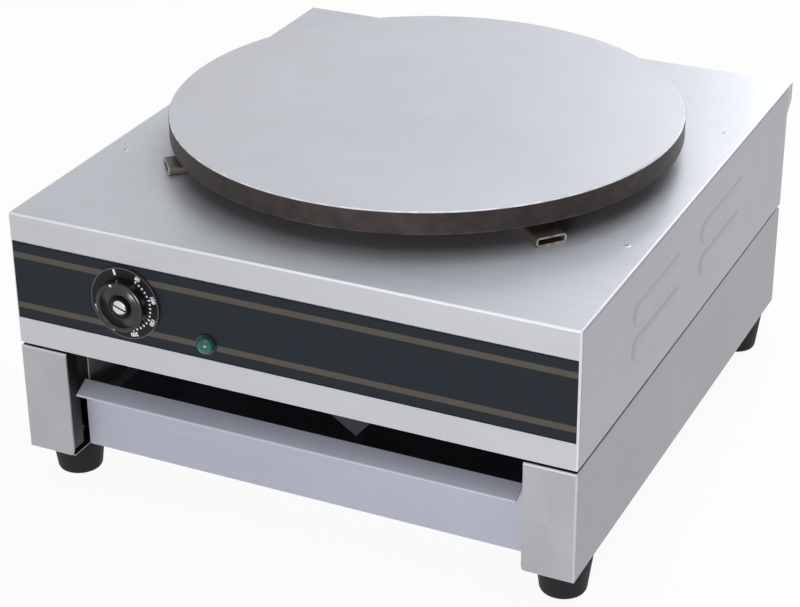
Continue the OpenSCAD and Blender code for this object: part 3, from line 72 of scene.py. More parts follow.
# ---- building materials ----
class Look:
    """One material under construction, with short ways to add and join nodes."""

    def __init__(self, name, **values):
        """values are numbers for the shader's own sockets, such as Specular_IOR_Level=0.2."""
        self.material = bpy.data.materials.new(name)
        self.material.use_nodes = True
        self.tree = self.material.node_tree
        self.shader = self.tree.nodes["Principled BSDF"]
        coordinates = self.tree.nodes.new("ShaderNodeTexCoord")
        self.place = coordinates.outputs["Object"]
        self.facing = coordinates.outputs["Normal"]
        for socket, value in values.items():
            self.shader.inputs[socket.replace("_", " ")].default_value = value

    def add(self, kind, inputs, **settings):
        """A new node with values or links for its inputs."""
        node = self.tree.nodes.new(kind)
        for key, value in settings.items():
            setattr(node, key, value)
        for socket, value in inputs.items():
            self.feed(node.inputs[socket], value)
        return node

    def feed(self, socket, value):
        """Links an output to a socket, or sets the socket's own value."""
        if isinstance(value, bpy.types.NodeSocket):
            self.tree.links.new(value, socket)
        else:
            socket.default_value = value

    def set(self, socket, value):
        """Feeds one of the shader's sockets."""
        self.feed(self.shader.inputs[socket], value)

    def fed(self, socket):
        """What feeds one of the shader's sockets so far."""
        return self.shader.inputs[socket].links[0].from_socket

    def math(self, operation, a, b=0.0, clamp=False):
        """One operation of a Math node on one or two values."""
        node = self.add("ShaderNodeMath", {0: a, 1: b}, operation=operation, use_clamp=clamp)
        return node.outputs[0]

    def total(self, first, *others):
        """The sum of all values."""
        for other in others:
            first = self.math("ADD", first, other)
        return first

    def product(self, first, *others):
        """All values multiplied."""
        for other in others:
            first = self.math("MULTIPLY", first, other)
        return first

    def away(self, value, middle):
        """Distance of a value from a middle value, never negative."""
        return self.math("ABSOLUTE", self.math("SUBTRACT", value, middle))

    def length(self, a, b):
        """Length of the hypotenuse over two sides."""
        return self.math("SQRT", self.total(self.product(a, a), self.product(b, b)))

    def axis(self, name, vector=None):
        """One coordinate of the place in the object, or of another vector."""
        node = self.add("ShaderNodeSeparateXYZ", {0: vector or self.place})
        return node.outputs[name]

    def noise(self, size, stretch=(1, 1, 1), detail=3.0, rough=0.55, shift=(0, 0, 0)):
        """Noise from 0 to 1 whose features are about size metres, times stretch along each axis."""
        scale = tuple(1 / (size * s) for s in stretch)
        moved = self.add("ShaderNodeMapping", {
            "Vector": self.place, "Location": shift, "Scale": scale})
        return self.texture(moved.outputs[0], detail, rough)

    def texture(self, vector, detail, rough):
        """Noise from 0 to 1 over any vector, with features about 1 across."""
        node = self.add("ShaderNodeTexNoise", {
            "Vector": vector, "Scale": 1.0, "Detail": detail, "Roughness": rough})
        return node.outputs["Fac"]

    def remap(self, value, low, high, from_low=0.0, from_high=1.0, smooth=False):
        """low at from_low and below, high at from_high and above, and in between in between."""
        kind = "SMOOTHSTEP" if smooth else "LINEAR"
        node = self.add("ShaderNodeMapRange", {
            "Value": value, "From Min": from_low, "From Max": from_high,
            "To Min": low, "To Max": high}, interpolation_type=kind)
        return node.outputs[0]

    def rise(self, value, start, end, smooth=False):
        """0 up to start, 1 from end on."""
        return self.remap(value, 0, 1, start, end, smooth)

    def within(self, value, edge, soft):
        """1 below the edge, 0 above it, with a soft change of that much either way."""
        return self.remap(value, 1, 0, edge - soft, edge + soft)

    def swing(self, value, by, around=0.0):
        """A noise value as a change of that much either way."""
        return self.remap(value, around - by, around + by)

    def mix(self, fac, a, b, blend="MIX"):
        """Colour a where fac is 0 and b where it is 1."""
        node = self.add("ShaderNodeMix", {"Factor": fac}, data_type="RGBA", blend_type=blend)
        self.feed(node.inputs[6], rgba(a))
        self.feed(node.inputs[7], rgba(b))
        return node.outputs[2]

    def mix_value(self, fac, a, b):
        """The same for numbers."""
        node = self.add("ShaderNodeMix", {"Factor": fac}, data_type="FLOAT")
        self.feed(node.inputs[2], a)
        self.feed(node.inputs[3], b)
        return node.outputs[0]

    def tint(self, colour, value):
        """Colour times a grey value."""
        grey = self.add("ShaderNodeCombineColor", {"Red": value, "Green": value, "Blue": value})
        return self.mix(1.0, colour, grey.outputs[0], "MULTIPLY")

    def bump(self, height, depth, strength=1.0, under=None):
        """A normal for a height that spans depth metres, on top of another bump if one is given."""
        inputs = {"Height": height, "Distance": depth, "Strength": strength}
        if under is not None:
            inputs["Normal"] = under
        return self.add("ShaderNodeBump", inputs).outputs[0]

    def tangent(self, axis):
        """Turns the highlight's long side across the grain that runs along an axis."""
        node = self.add("ShaderNodeTangent", {}, direction_type="RADIAL", axis=axis)
        self.set("Tangent", node.outputs[0])


def rgba(colour):
    """A colour of three or four numbers as four; sockets pass through."""
    if isinstance(colour, bpy.types.NodeSocket) or len(colour) == 4:
        return colour
    return (*colour, 1.0)


def give(look, *names):
    """Puts the material on the named CAD nodes."""
    for name in names:
        mesh = NODES[name].data
        mesh.materials.clear()
        mesh.materials.append(look.material)


# ---- ground sheet steel ----
SATIN_METAL = 0.5  # ground metal scatters about half of the light like a matt surface
GRAIN_SPREAD = 0.2
GRAIN_SIZE = 0.55 * MM
GRAIN_LENGTH = 160  # times as long as wide
GRAIN_DEPTH = 0.012 * MM
BROAD_GRAIN = 7 * GRAIN_SIZE
CLOUD_SIZE = 110 * MM
SMEAR_SIZE = 0.35 * CLOUD_SIZE
SMEAR_STRETCH = (1.6, 1, 1)
FINE_TONE = 0.04  # how far the fine grain moves the colour either way
BROAD_TONE = 0.05
CLOUD_TONE = 0.06
SMEAR_GLOSS = 0.05  # how far the smears move the roughness either way
GRAIN_GLOSS = 0.03
SEED_STEP = (3.1, 1.7, 2.3)  # moves the noise of one sheet away from the next one's


def brushed_sheet(name, colour, grain, roughness, seed=0, shade=None, **values):
    """Satin stainless sheet: fine grain along one axis, faint clouds and wiped smears.

    shade is a function that takes the look and gives a factor for the colour: painted shade where
    the factor is below 1, painted highlight where it is above 1.
    """
    look = Look(name, Metallic=SATIN_METAL, Anisotropic=GRAIN_SPREAD, **values)
    stretch = tuple(GRAIN_LENGTH if axis == grain else 1 for axis in "XYZ")
    shift = tuple(seed * step for step in SEED_STEP)
    fine = look.noise(GRAIN_SIZE, stretch, detail=2.0, rough=0.6, shift=shift)
    broad = look.noise(BROAD_GRAIN, stretch, detail=2.0, rough=0.5, shift=shift)
    cloud = look.noise(CLOUD_SIZE, detail=3.0, rough=0.55, shift=shift)
    smear = look.noise(SMEAR_SIZE, SMEAR_STRETCH, detail=4.0, rough=0.6, shift=shift)
    tone = look.total(look.swing(fine, FINE_TONE), look.swing(broad, BROAD_TONE),
                      look.swing(cloud, CLOUD_TONE), 1.0)
    if shade is not None:
        tone = look.product(tone, shade(look))
    look.set("Base Color", look.tint(colour, tone))
    look.set("Roughness", look.total(look.swing(smear, SMEAR_GLOSS, roughness),
                                     look.swing(fine, GRAIN_GLOSS)))
    look.set("Normal", look.bump(fine, GRAIN_DEPTH, strength=0.6))
    look.tangent(grain)
    return look


# painted shade on the inside of the base frame, where shade falls
INNER_SHADE_TONE = 0.05
INNER_FROM_FRONT = (1.3 * MM, 1.8 * MM)  # the change lies within the sheet's thickness
INNER_FROM_SIDE = (0.7 * MM, 1.0 * MM)
INNER_FROM_BELOW = (0.3 * MM, 0.8 * MM)


def inner_side(look):
    """Painted shade: the inner side of the base frame's sheet is darkened to a twentieth of its
    colour.
    """
    from_front = look.math("SUBTRACT", look.axis("Y"), BASE_LOW.y)
    from_side = look.math("SUBTRACT", BASE_HIGH.x, look.math("ABSOLUTE", look.axis("X")))
    from_below = look.math("SUBTRACT", look.axis("Z"), BASE_LOW.z)
    shaded_inside = look.product(look.rise(from_front, *INNER_FROM_FRONT),
                          look.rise(from_side, *INNER_FROM_SIDE),
                          look.rise(from_below, *INNER_FROM_BELOW))
    return look.remap(shaded_inside, 1, INNER_SHADE_TONE)


# painted highlight on the sheet's front bends
FOLD_HIGHLIGHT_TONE = 1.4
FOLD_SLANT = (0.12, 0.4)


def polished_folds(look):
    """Painted highlight: the bends round the front, which face neither straight ahead nor sideways,
    are made brighter.
    """
    ahead = look.math("MAXIMUM", look.product(look.axis("Y", look.facing), -1.0), 0.0)
    aside = look.total(look.math("ABSOLUTE", look.axis("X", look.facing)),
                       look.math("ABSOLUTE", look.axis("Z", look.facing)))
    return look.remap(look.product(ahead, aside), 1, FOLD_HIGHLIGHT_TONE, *FOLD_SLANT)


def frame_shades(look):
    """Painted light on the base frame's folded sheet: painted shade on its inner side and a painted
    highlight on its front bends.
    """
    return look.product(inner_side(look), polished_folds(look))


# painted shade on the slopes of the louvres
SLOPE_SHADE_TONE = 0.86
SLOPE_FACING = (0.93, 0.995)


def pressed_forms(look):
    """Painted shade: the slopes of the louvres, and other faces that do not face straight sideways,
    are a little darker than the flat sheet.
    """
    sideways = look.math("ABSOLUTE", look.axis("X", look.facing))
    return look.remap(sideways, SLOPE_SHADE_TONE, 1.0, *SLOPE_FACING)


# painted highlight along the front edge of the tray's lip
LIP_HIGHLIGHT_TONE = 1.3
LIP_EDGE = (0.7 * MM, 1.3 * MM)


def lip_edge(look):
    """Painted highlight along the front edge of the tray's hand lip."""
    from_front = look.math("SUBTRACT", look.axis("Y"), LIP_FRONT)
    return look.remap(from_front, LIP_HIGHLIGHT_TONE, 1.0, *LIP_EDGE)


# ---- other metals, plastic and rubber ----
MOTTLE_SIZE = 3 * MM
MOTTLE_TONE = 0.1
MOTTLE_GLOSS = 0.06
MOTTLE_DEPTH = 0.05 * MM
DUST_SIZE = 18 * MM
DUST_GLOSS = 0.05


def cast_metal(name, colour, roughness, metallic=1.0):
    """Cast, drawn or turned metal with a faint mottle."""
    look = Look(name, Metallic=metallic)
    mottle = look.noise(MOTTLE_SIZE, detail=4.0)
    look.set("Base Color", look.tint(colour, look.swing(mottle, MOTTLE_TONE, around=1.0)))
    look.set("Roughness", look.swing(mottle, MOTTLE_GLOSS, around=roughness))
    look.set("Normal", look.bump(mottle, MOTTLE_DEPTH, strength=0.4))
    return look


def moulded(name, colour, roughness, speck=0.25 * MM, depth=0.012 * MM, variation=0.08, **values):
    """Moulded plastic or rubber: a fine even texture and faint dust."""
    look = Look(name, **values)
    texture = look.noise(speck, detail=2.0)
    dust = look.noise(DUST_SIZE, detail=4.0)
    tone = look.total(look.swing(dust, variation, around=1.0), look.swing(texture, variation / 3))
    look.set("Base Color", look.tint(colour, tone))
    look.set("Roughness", look.swing(dust, DUST_GLOSS, around=roughness))
    look.set("Normal", look.bump(texture, depth, strength=0.5))
    return look


# ---- cooking plate: its ground top ----
TOP_IRON = (0.53, 0.53, 0.568)
TOP_ROUGHNESS = 0.44
TOP_CLOUD_SIZE = 160 * MM
TOP_CLOUD_TONE = 0.07
BLOTCH_SIZE = 30 * MM
BLOTCH_TONE = 0.04
BLOTCH_GLOSS = 0.04
RING_PITCH = 0.5 * MM
RING_TONE = 0.012
RING_SHARE = 0.06  # the turning marks' depth as a share of the rim's crust
# painted highlight: the ground iron on the chamfer, below the very top, is made brighter
CHAMFER_HIGHLIGHT_TONE = 1.5
CHAMFER_HIGHLIGHT_EDGE = (0.05 * MM, 0.2 * MM)  # below the top
BARE_TOP = (0.05 * MM, 0.15 * MM)  # below the top; above this all brown is ground off
CHAMFER_END = 1.15 * MM
CHAMFER_SOFT = 0.5 * MM
WEAR_SIZE = 9 * MM
LEAST_WEAR = 0.75
PATCH_EDGE = (0.35, 0.6)  # the noise between these values is the soft edge of a worn patch on the chamfer and of a patch of painted highlight on the rim

# ---- cooking plate: its seasoned rim ----
RIM_HEIGHT = 18 * MM
RIM_BROWN = (0.025, 0.019, 0.018)
RIM_PALE = (0.044, 0.034, 0.032)
RIM_METAL = 0.1
RIM_ROUGHNESS = 0.52
PATCH_SIZE = 14 * MM
PATCH_TONES = (0.3, 0.7)  # the noise at which a patch is all brown and all pale
CRUST_SIZE = 1.4 * MM
CRUST_TONE = 0.15
CRUST_GLOSS = 0.10
CRUST_DEPTH = 0.12 * MM
# painted highlight in patches along the rim's lower edge
RIM_HIGHLIGHT_BROWN = (0.17, 0.145, 0.135)
RIM_HIGHLIGHT_EDGE = (0.5 * MM, 1.3 * MM)  # above the rim's foot
LEAST_RIM_HIGHLIGHT = 0.2


def plate_top(look, rings, blotch):
    """Colour of the ground top, with turning marks, faint clouds and a painted highlight on the
    chamfer.
    """
    cloud = look.noise(TOP_CLOUD_SIZE, detail=3.0, shift=(4.0, 2.0, 0.0))
    tone = look.total(look.swing(rings, RING_TONE), look.swing(cloud, TOP_CLOUD_TONE, around=1.0),
                      look.swing(blotch, BLOTCH_TONE))
    below = look.math("SUBTRACT", PLATE_TOP, look.axis("Z"))
    edge = look.rise(below, *CHAMFER_HIGHLIGHT_EDGE)
    return look.tint(TOP_IRON, look.product(tone, look.remap(edge, 1, CHAMFER_HIGHLIGHT_TONE)))


def plate_rim(look, crust):
    """Colour of the seasoned rim, with a patchy painted highlight along its lower edge."""
    patches = look.noise(PATCH_SIZE, (1, 1, 0.7), detail=4.0, rough=0.6)
    brown = look.mix(look.rise(patches, *PATCH_TONES, smooth=True), RIM_BROWN, RIM_PALE)
    brown = look.tint(brown, look.swing(crust, CRUST_TONE, around=1.0))
    above_foot = look.math("SUBTRACT", look.axis("Z"), PLATE_TOP - RIM_HEIGHT)
    low_edge = look.remap(above_foot, 1, 0, *RIM_HIGHLIGHT_EDGE)
    rim_highlight = look.product(low_edge, look.remap(patches, LEAST_RIM_HIGHLIGHT, 1.0, *PATCH_EDGE))
    return look.mix(rim_highlight, brown, RIM_HIGHLIGHT_BROWN)


def plate_look():
    """Ground cast iron on top; a brown-black rim that starts at the worn chamfer."""
    look = Look("griddle_iron", Specular_IOR_Level=0.3)
    radius = look.length(look.math("SUBTRACT", look.axis("X"), PLATE_CENTRE.x),
                         look.math("SUBTRACT", look.axis("Y"), PLATE_CENTRE.y))
    turns = look.add("ShaderNodeCombineXYZ", {0: look.product(radius, 1 / RING_PITCH)})
    rings = look.texture(turns.outputs[0], detail=2.0, rough=0.6)
    blotch = look.noise(BLOTCH_SIZE, detail=5.0, rough=0.6)
    crust = look.noise(CRUST_SIZE, (1, 1, 2.5), detail=5.0, rough=0.65)

    below = look.math("SUBTRACT", PLATE_TOP, look.axis("Z"))
    ground = look.remap(below, 1, 0, CHAMFER_END - CHAMFER_SOFT, CHAMFER_END, smooth=True)
    wear = look.remap(look.noise(WEAR_SIZE, detail=3.0), LEAST_WEAR, 1.0, *PATCH_EDGE)
    bare = look.math("MAXIMUM", wear, look.remap(below, 1, 0, *BARE_TOP))
    on_top = look.math("MULTIPLY", ground, bare, clamp=True)

    look.set("Base Color", look.mix(on_top, plate_rim(look, crust), plate_top(look, rings, blotch)))
    look.set("Metallic", look.remap(on_top, RIM_METAL, SATIN_METAL))
    look.set("Roughness", look.mix_value(on_top,
                                         look.swing(crust, CRUST_GLOSS, around=RIM_ROUGHNESS),
                                         look.swing(blotch, BLOTCH_GLOSS, around=TOP_ROUGHNESS)))
    height = look.mix_value(on_top, crust, look.product(rings, RING_SHARE))
    look.set("Normal", look.bump(height, CRUST_DEPTH, strength=0.5))
    return look


# ---- plate carrier ----
ARM_ANGLE = math.radians(40)
ARM_OVER = 6 * MM  # how far the arms reach past the plate
ARM_END = PLATE_RADIUS + ARM_OVER
HEAT_BROWN = (0.13, 0.115, 0.10)
SAWN_METAL = (0.55, 0.49, 0.42)
SAWN_DEPTH = 1.0 * MM
TARNISH_SIZE = 5 * MM
TARNISH_EDGE = (0.35, 0.65)
LEAST_SAWN = 0.2


def carrier_look():
    """Welded flat tube, browned by heat, with bare metal at its sawn ends."""
    look = brushed_sheet("carrier_steel", HEAT_BROWN, grain="Z", roughness=0.42)
    x = look.away(look.axis("X"), PLATE_CENTRE.x)
    y = look.away(look.axis("Y"), PLATE_CENTRE.y)
    along = look.total(look.product(x, math.cos(ARM_ANGLE)), look.product(y, math.sin(ARM_ANGLE)))
    sawn = look.rise(along, ARM_END - SAWN_DEPTH, ARM_END - SAWN_DEPTH / 2)
    tarnish = look.remap(look.noise(TARNISH_SIZE), LEAST_SAWN, 1.0, *TARNISH_EDGE)
    bare = look.product(sawn, tarnish)
    look.set("Base Color", look.mix(bare, look.fed("Base Color"), SAWN_METAL))
    return look


# ---- control band ----
STRIPE_HEIGHT = 4.8 * MM
STRIPE_INSET = 8.6 * MM
STRIPE_SOFT = 0.15 * MM
BORDER_WIDTH = 1.3 * MM
BORDER_SOFT = 0.2 * MM
BORDER_TONE = 0.45
SLATE = (0.013, 0.018, 0.025)
TAUPE = (0.084, 0.077, 0.067)
FILM_ROUGHNESS = 0.41
FILM_DUST_SIZE = 25 * MM
FILM_DUST_TONE = 0.08
FILM_SPECK_SIZE = 0.4 * MM
FILM_SPECK_TONE = 0.04
FILM_SPECK_DEPTH = 0.01 * MM


def band_look():
    """Matt slate film with two thin taupe lines and a darker border."""
    look = Look("control_film", Specular_IOR_Level=0.15)
    z = look.axis("Z")
    to_stripe = STRIPE_INSET + STRIPE_HEIGHT / 2
    low, high = (look.within(look.away(z, centre), STRIPE_HEIGHT / 2, STRIPE_SOFT)
                 for centre in (BAND_LOW.z + to_stripe, BAND_HIGH.z - to_stripe))
    dust = look.noise(FILM_DUST_SIZE, detail=4.0)
    speck = look.noise(FILM_SPECK_SIZE, detail=2.0)
    tone = look.total(look.swing(dust, FILM_DUST_TONE, around=1.0),
                      look.swing(speck, FILM_SPECK_TONE))
    from_edge = look.math("MINIMUM", look.math("SUBTRACT", z, BAND_LOW.z),
                          look.math("SUBTRACT", BAND_HIGH.z, z))
    border = look.remap(from_edge, BORDER_TONE, 1,
                        BORDER_WIDTH - BORDER_SOFT, BORDER_WIDTH + BORDER_SOFT)
    look.set("Base Color", look.mix(look.math("MAXIMUM", low, high),
                                    look.tint(SLATE, look.product(tone, border)),
                                    look.tint(TAUPE, tone)))
    look.set("Roughness", look.swing(dust, DUST_GLOSS, around=FILM_ROUGHNESS))
    look.set("Normal", look.bump(speck, FILM_SPECK_DEPTH, strength=0.3))
    return look


# ---- dial and knob: angles run clockwise from the top, as seen from the front ----
KNOB_BLACK = (0.007, 0.007, 0.010)
KNOB_DOT_ANGLE = -19.5
KNOB_DOT_PLACE = 17.9 * MM
KNOB_DOT_RADIUS = 1.05 * MM
KNOB_DOT_DEPTH = (0.3 * MM, 0.4 * MM)  # paint ends this far behind the knob's front
DOT_WHITE = (0.80, 0.80, 0.80)
CROWN_START = 10.5 * MM
CROWN_WIDTH = 6.3 * MM
CROWN_SLOPE = 0.76
CROWN_CURVE = 14.0
CUP_START = 6.4 * MM
CUP_WIDTH = 3.0 * MM
CUP_SLOPE = 0.6
SLOT_WIDTH = 1.3 * MM
SLOT_TURN = math.radians(20)
# painted shade in the cap's slot
SLOT_SHADE = (0.02, 0.02, 0.022)
PAINT_SOFT = 0.1 * MM
SLOT_SHADE_SOFT = 0.05 * MM


def front_point(radius, degrees, y):
    """A point on the dial, at a depth of its own."""
    a = math.radians(degrees)
    return Vector((DIAL_CENTRE.x + radius * math.sin(a), y, DIAL_CENTRE.z + radius * math.cos(a)))


def dial_parts(look):
    """How far a place is from the knob's axis, sideways and upwards."""
    across = look.math("SUBTRACT", look.axis("X"), DIAL_CENTRE.x)
    up = look.math("SUBTRACT", look.axis("Z"), DIAL_CENTRE.z)
    return across, up


def knob_dot(look):
    """1 on the white dot that is painted on the knob's raised rim."""
    spot = front_point(KNOB_DOT_PLACE, KNOB_DOT_ANGLE, KNOB_FACE)
    distance = look.length(look.math("SUBTRACT", look.axis("X"), spot.x),
                           look.math("SUBTRACT", look.axis("Z"), spot.z))
    behind = look.math("SUBTRACT", look.axis("Y"), KNOB_FACE)
    return look.product(look.within(distance, KNOB_DOT_RADIUS, PAINT_SOFT),
                        look.remap(behind, 1, 0, *KNOB_DOT_DEPTH))


def knob_look():
    """Glossy black moulding, softly crowned round a small cup, with a white dot."""
    look = moulded("knob_black", KNOB_BLACK, 0.20, depth=0.004 * MM, Specular_IOR_Level=0.55)
    look.set("Base Color", look.mix(knob_dot(look), look.fed("Base Color"), DOT_WHITE))
    radius = look.length(*dial_parts(look))
    past = look.remap(radius, 0, CROWN_WIDTH, CROWN_START, CROWN_START + CROWN_WIDTH)
    fall = look.total(look.product(past, CROWN_SLOPE), look.product(past, past, CROWN_CURVE))
    cup = look.remap(radius, 0, CUP_WIDTH * CUP_SLOPE, CUP_START, CUP_START + CUP_WIDTH)
    crown = look.math("SUBTRACT", cup, fall)
    look.set("Normal", look.bump(crown, 1.0, under=look.fed("Normal")))
    return look


def cap_look():
    """Turned chrome with painted shade in its slot."""
    look = cast_metal("cap_chrome", (0.66, 0.66, 0.68), 0.22)
    across, up = dial_parts(look)
    from_slot = look.math("ABSOLUTE", look.total(look.product(up, math.cos(SLOT_TURN)),
                                                 look.product(across, math.sin(SLOT_TURN))))
    slot_shade = look.within(from_slot, SLOT_WIDTH / 2, SLOT_SHADE_SOFT)
    look.set("Base Color", look.mix(slot_shade, look.fed("Base Color"), SLOT_SHADE))
    return look


# ---- rivets and lamp ----
RIVET_HEAD = 3 * MM  # radius
RIVET_ACROSS = RIVETS_HIGH.x - RIVET_HEAD  # from the middle of the top
RIVET_ALONG = RIVETS_HIGH.y - RIVET_HEAD - PLATE_CENTRE.y  # before and behind the plate's centre
RIVET_PIN = 0.95 * MM
PIN_SOFT = 0.15 * MM
# painted shade: a dark dot in the middle of each rivet head
PIN_SHADE = (0.06, 0.06, 0.065)


def rivet_look():
    """Blind rivets: the head is as bright as the sheet, with a dark dot of painted shade in its
    middle where the pin sits.
    """
    look = cast_metal("rivet_steel", (0.50, 0.51, 0.54), 0.45, metallic=SATIN_METAL)
    x = look.math("SUBTRACT", look.math("ABSOLUTE", look.axis("X")), RIVET_ACROSS)
    y = look.math("SUBTRACT", look.away(look.axis("Y"), PLATE_CENTRE.y), RIVET_ALONG)
    pin = look.within(look.length(x, y), RIVET_PIN, PIN_SOFT)
    look.set("Base Color", look.mix(pin, look.fed("Base Color"), PIN_SHADE))
    return look


LENS_DARK = (0.005, 0.115, 0.085)
LENS_GREEN = (0.012, 0.19, 0.14)
LENS_CLOUD_SIZE = 4 * MM
LENS_CLOUD_EDGE = (0.3, 0.7)
LENS_RIPPLE_SIZE = 1.2 * MM
LENS_RIPPLE_DEPTH = 0.03 * MM


def lens_look():
    """Green plastic lens that lets a little light through."""
    look = Look("lamp_green", Roughness=0.12, IOR=1.49, Transmission_Weight=0.25)
    cloud = look.noise(LENS_CLOUD_SIZE, detail=2.0)
    bright = look.rise(cloud, *LENS_CLOUD_EDGE)
    look.set("Base Color", look.mix(bright, LENS_DARK, LENS_GREEN))
    look.set("Normal", look.bump(look.noise(LENS_RIPPLE_SIZE), LENS_RIPPLE_DEPTH, strength=0.4))
    return look


# ---- which piece gets which material ----
def dress_sheets():
    """The folded and pressed sheet steel. X, Y or Z is the axis that its grain runs along."""
    give(brushed_sheet("cover_steel", (0.515, 0.525, 0.56), "X", 0.42, shade=polished_folds),
         "top_cover")
    # the side panels' steel is darker than the cover's: painted shade
    give(brushed_sheet("side_steel_painted_shade", (0.48, 0.47, 0.515), "Y", 0.45, seed=1, shade=pressed_forms),
         "side_panel_left", "side_panel_right")
    give(brushed_sheet("rear_steel", (0.50, 0.50, 0.515), "X", 0.45, seed=2),
         "rear_panel", "base_rear")
    # the base frame's steel is darker than the cover's: painted shade, with painted shade inside
    # and a painted highlight on the front bends
    give(brushed_sheet("frame_steel_painted_light", (0.405, 0.40, 0.43), "Y", 0.45, seed=3, shade=frame_shades),
         "base_side_left", "base_side_right")
    give(brushed_sheet("tray_steel", (0.41, 0.43, 0.505), "X", 0.45, seed=4, shade=lip_edge),
         "tray")
    give(brushed_sheet("rail_steel", (0.33, 0.33, 0.34), "Y", 0.42, seed=5),
         "tray_rail_left", "tray_rail_right")
    # the heat shield's steel is near black: painted shade in the gap under the housing
    give(brushed_sheet("shield_steel_painted_shade", (0.035, 0.035, 0.04), "X", 0.6, seed=6,
                       Specular_IOR_Level=0.2), "heat_shield")
    give(brushed_sheet("pan_steel", (0.42, 0.41, 0.40), "Z", 0.35, seed=7),
         "reflector_pan", "element_straps", "bulb_clip")


def dress_metals():
    """Iron, tube, fasteners and small metal parts."""
    give(plate_look(), "cooking_plate")
    give(carrier_look(), "plate_carrier")
    give(cast_metal("element_tube", (0.16, 0.135, 0.12), 0.6), "element_outer", "element_inner")
    give(cast_metal("zinc_steel", (0.52, 0.52, 0.53), 0.35),
         "rear_screws", "plate_studs", "plate_nuts", "carrier_screws", "carrier_nuts",
         "strap_studs", "strap_nuts", "thermostat_shaft", "thermostat_screws", "clip_screw",
         "frame_bolts", "frame_nuts", "foot_screws", "foot_nuts", "block_screws")
    give(rivet_look(), "top_rivets")
    give(cast_metal("earth_brass", (0.62, 0.47, 0.20), 0.32), "earth_stud", "earth_nut")
    give(cast_metal("bulb_copper", (0.66, 0.33, 0.20), 0.36), "capillary_bulb")
    give(cast_metal("ring_metal", (0.13, 0.12, 0.135), 0.35), "dial_ring")
    give(cap_look(), "knob_cap")


def dress_others():
    """Film, plastic, rubber and ceramic fibre."""
    give(moulded("ceramic_fibre", (0.80, 0.78, 0.71), 0.95, speck=1.2 * MM, depth=0.5 * MM,
                 variation=0.1), "insulation_pad")
    give(band_look(), "control_band")
    give(moulded("dial_black", (0.006, 0.006, 0.008), 0.42, Specular_IOR_Level=0.2), "dial")
    give(knob_look(), "knob")
    give(moulded("cream_insulator", (0.72, 0.68, 0.56), 0.45), "thermostat_body", "terminal_block")
    give(moulded("bezel_black", (0.014, 0.014, 0.015), 0.3), "lamp_bezel")
    give(lens_look(), "lamp_lens")
    give(moulded("white_nylon", (0.72, 0.72, 0.69), 0.45), "lamp_body", "lamp_nut", "wiring")
    give(moulded("foot_rubber", (0.010, 0.010, 0.012), 0.6, speck=0.5 * MM, depth=0.03 * MM,
                 variation=0.2, Specular_IOR_Level=0.2), "feet")
    give(moulded("gland_nylon", (0.020, 0.020, 0.022), 0.42),
         "cable_gland", "gland_cap", "gland_locknut", "seam_spacers")


# ---- print on the dial ----
MARK_RISE = 0.08 * MM
OFF_ANGLE = -17.0
OFF_MARK = (22.6 * MM, 27.2 * MM, 1.9 * MM)  # inner radius, outer radius, width
TICK = (20.8 * MM, 22.8 * MM, 1.2 * MM)
DOT_PLACE = 21.4 * MM
DOT_RADIUS = 0.8 * MM
DOT_SIDES = 16
DOTS_BETWEEN = 4
NUMBER_STEP = 50
NUMBER_ANGLES = [28.5, 72.6, 116.0, 164.7, 209.6, 250.5]
NUMBER_PLACE = 24.9 * MM
NUMBER_HEIGHT = 4.2 * MM
NUMBER_BOLD = 0.2 * MM


def bar(radius_in, radius_out, width, degrees):
    """Corners of a radial bar on the dial's face."""
    a = math.radians(degrees)
    outwards = Vector((math.sin(a), 0, math.cos(a)))
    aside = Vector((math.cos(a), 0, -math.sin(a))) * width / 2
    centre = Vector((DIAL_CENTRE.x, DIAL_FACE, DIAL_CENTRE.z))
    inner, outer = centre + outwards * radius_in, centre + outwards * radius_out
    return [inner + aside, outer + aside, outer - aside, inner - aside]


def dot(degrees):
    """Corners of a round dot on the dial's face."""
    middle = front_point(DOT_PLACE, degrees, DIAL_FACE)
    turn = 2 * math.pi / DOT_SIDES
    return [middle + Vector((math.cos(k * turn), 0, math.sin(k * turn))) * DOT_RADIUS
            for k in range(DOT_SIDES)]


def raised(name, shapes):
    """A mesh of thin raised shapes, each given by its corners on the dial's face."""
    made = bmesh.new()
    rise = Vector((0, -MARK_RISE, 0))
    for corners in shapes:
        low = [made.verts.new(corner) for corner in corners]
        high = [made.verts.new(corner + rise) for corner in corners]
        made.faces.new(high)
        made.faces.new(low[::-1])
        for k in range(len(low)):
            n = (k + 1) % len(low)
            made.faces.new((low[k], low[n], high[n], high[k]))
    bmesh.ops.recalc_face_normals(made, faces=made.faces[:])
    mesh = bpy.data.meshes.new(name)
    made.to_mesh(mesh)
    made.free()
    return mesh


def number_mesh(name, number, degrees):
    """A raised number whose foot points to the knob."""
    curve = bpy.data.curves.new("number", "FONT")
    curve.body = str(number)
    curve.size = NUMBER_HEIGHT
    curve.align_x = "CENTER"
    curve.align_y = "CENTER"
    curve.extrude = MARK_RISE / 2
    curve.offset = NUMBER_BOLD
    maker = bpy.data.objects.new("number_maker", curve)
    bpy.context.scene.collection.objects.link(maker)
    bpy.context.view_layer.update()
    mesh = bpy.data.meshes.new_from_object(maker)
    bpy.data.objects.remove(maker)
    stand = Matrix.Rotation(math.radians(90), 4, "X")
    turn = Matrix.Rotation(math.radians(degrees), 4, "Y")
    place = Matrix.Translation(front_point(NUMBER_PLACE, degrees, DIAL_FACE - MARK_RISE / 2))
    mesh.transform(place @ turn @ stand)
    mesh.name = name
    return mesh


def print_on_dial(name, mesh, look):
    """Makes a piece of print that stays with the housing."""
    piece = bpy.data.objects.new(name, mesh)
    bpy.context.scene.collection.objects.link(piece)
    mesh.materials.append(look.material)
    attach(piece, "housing")


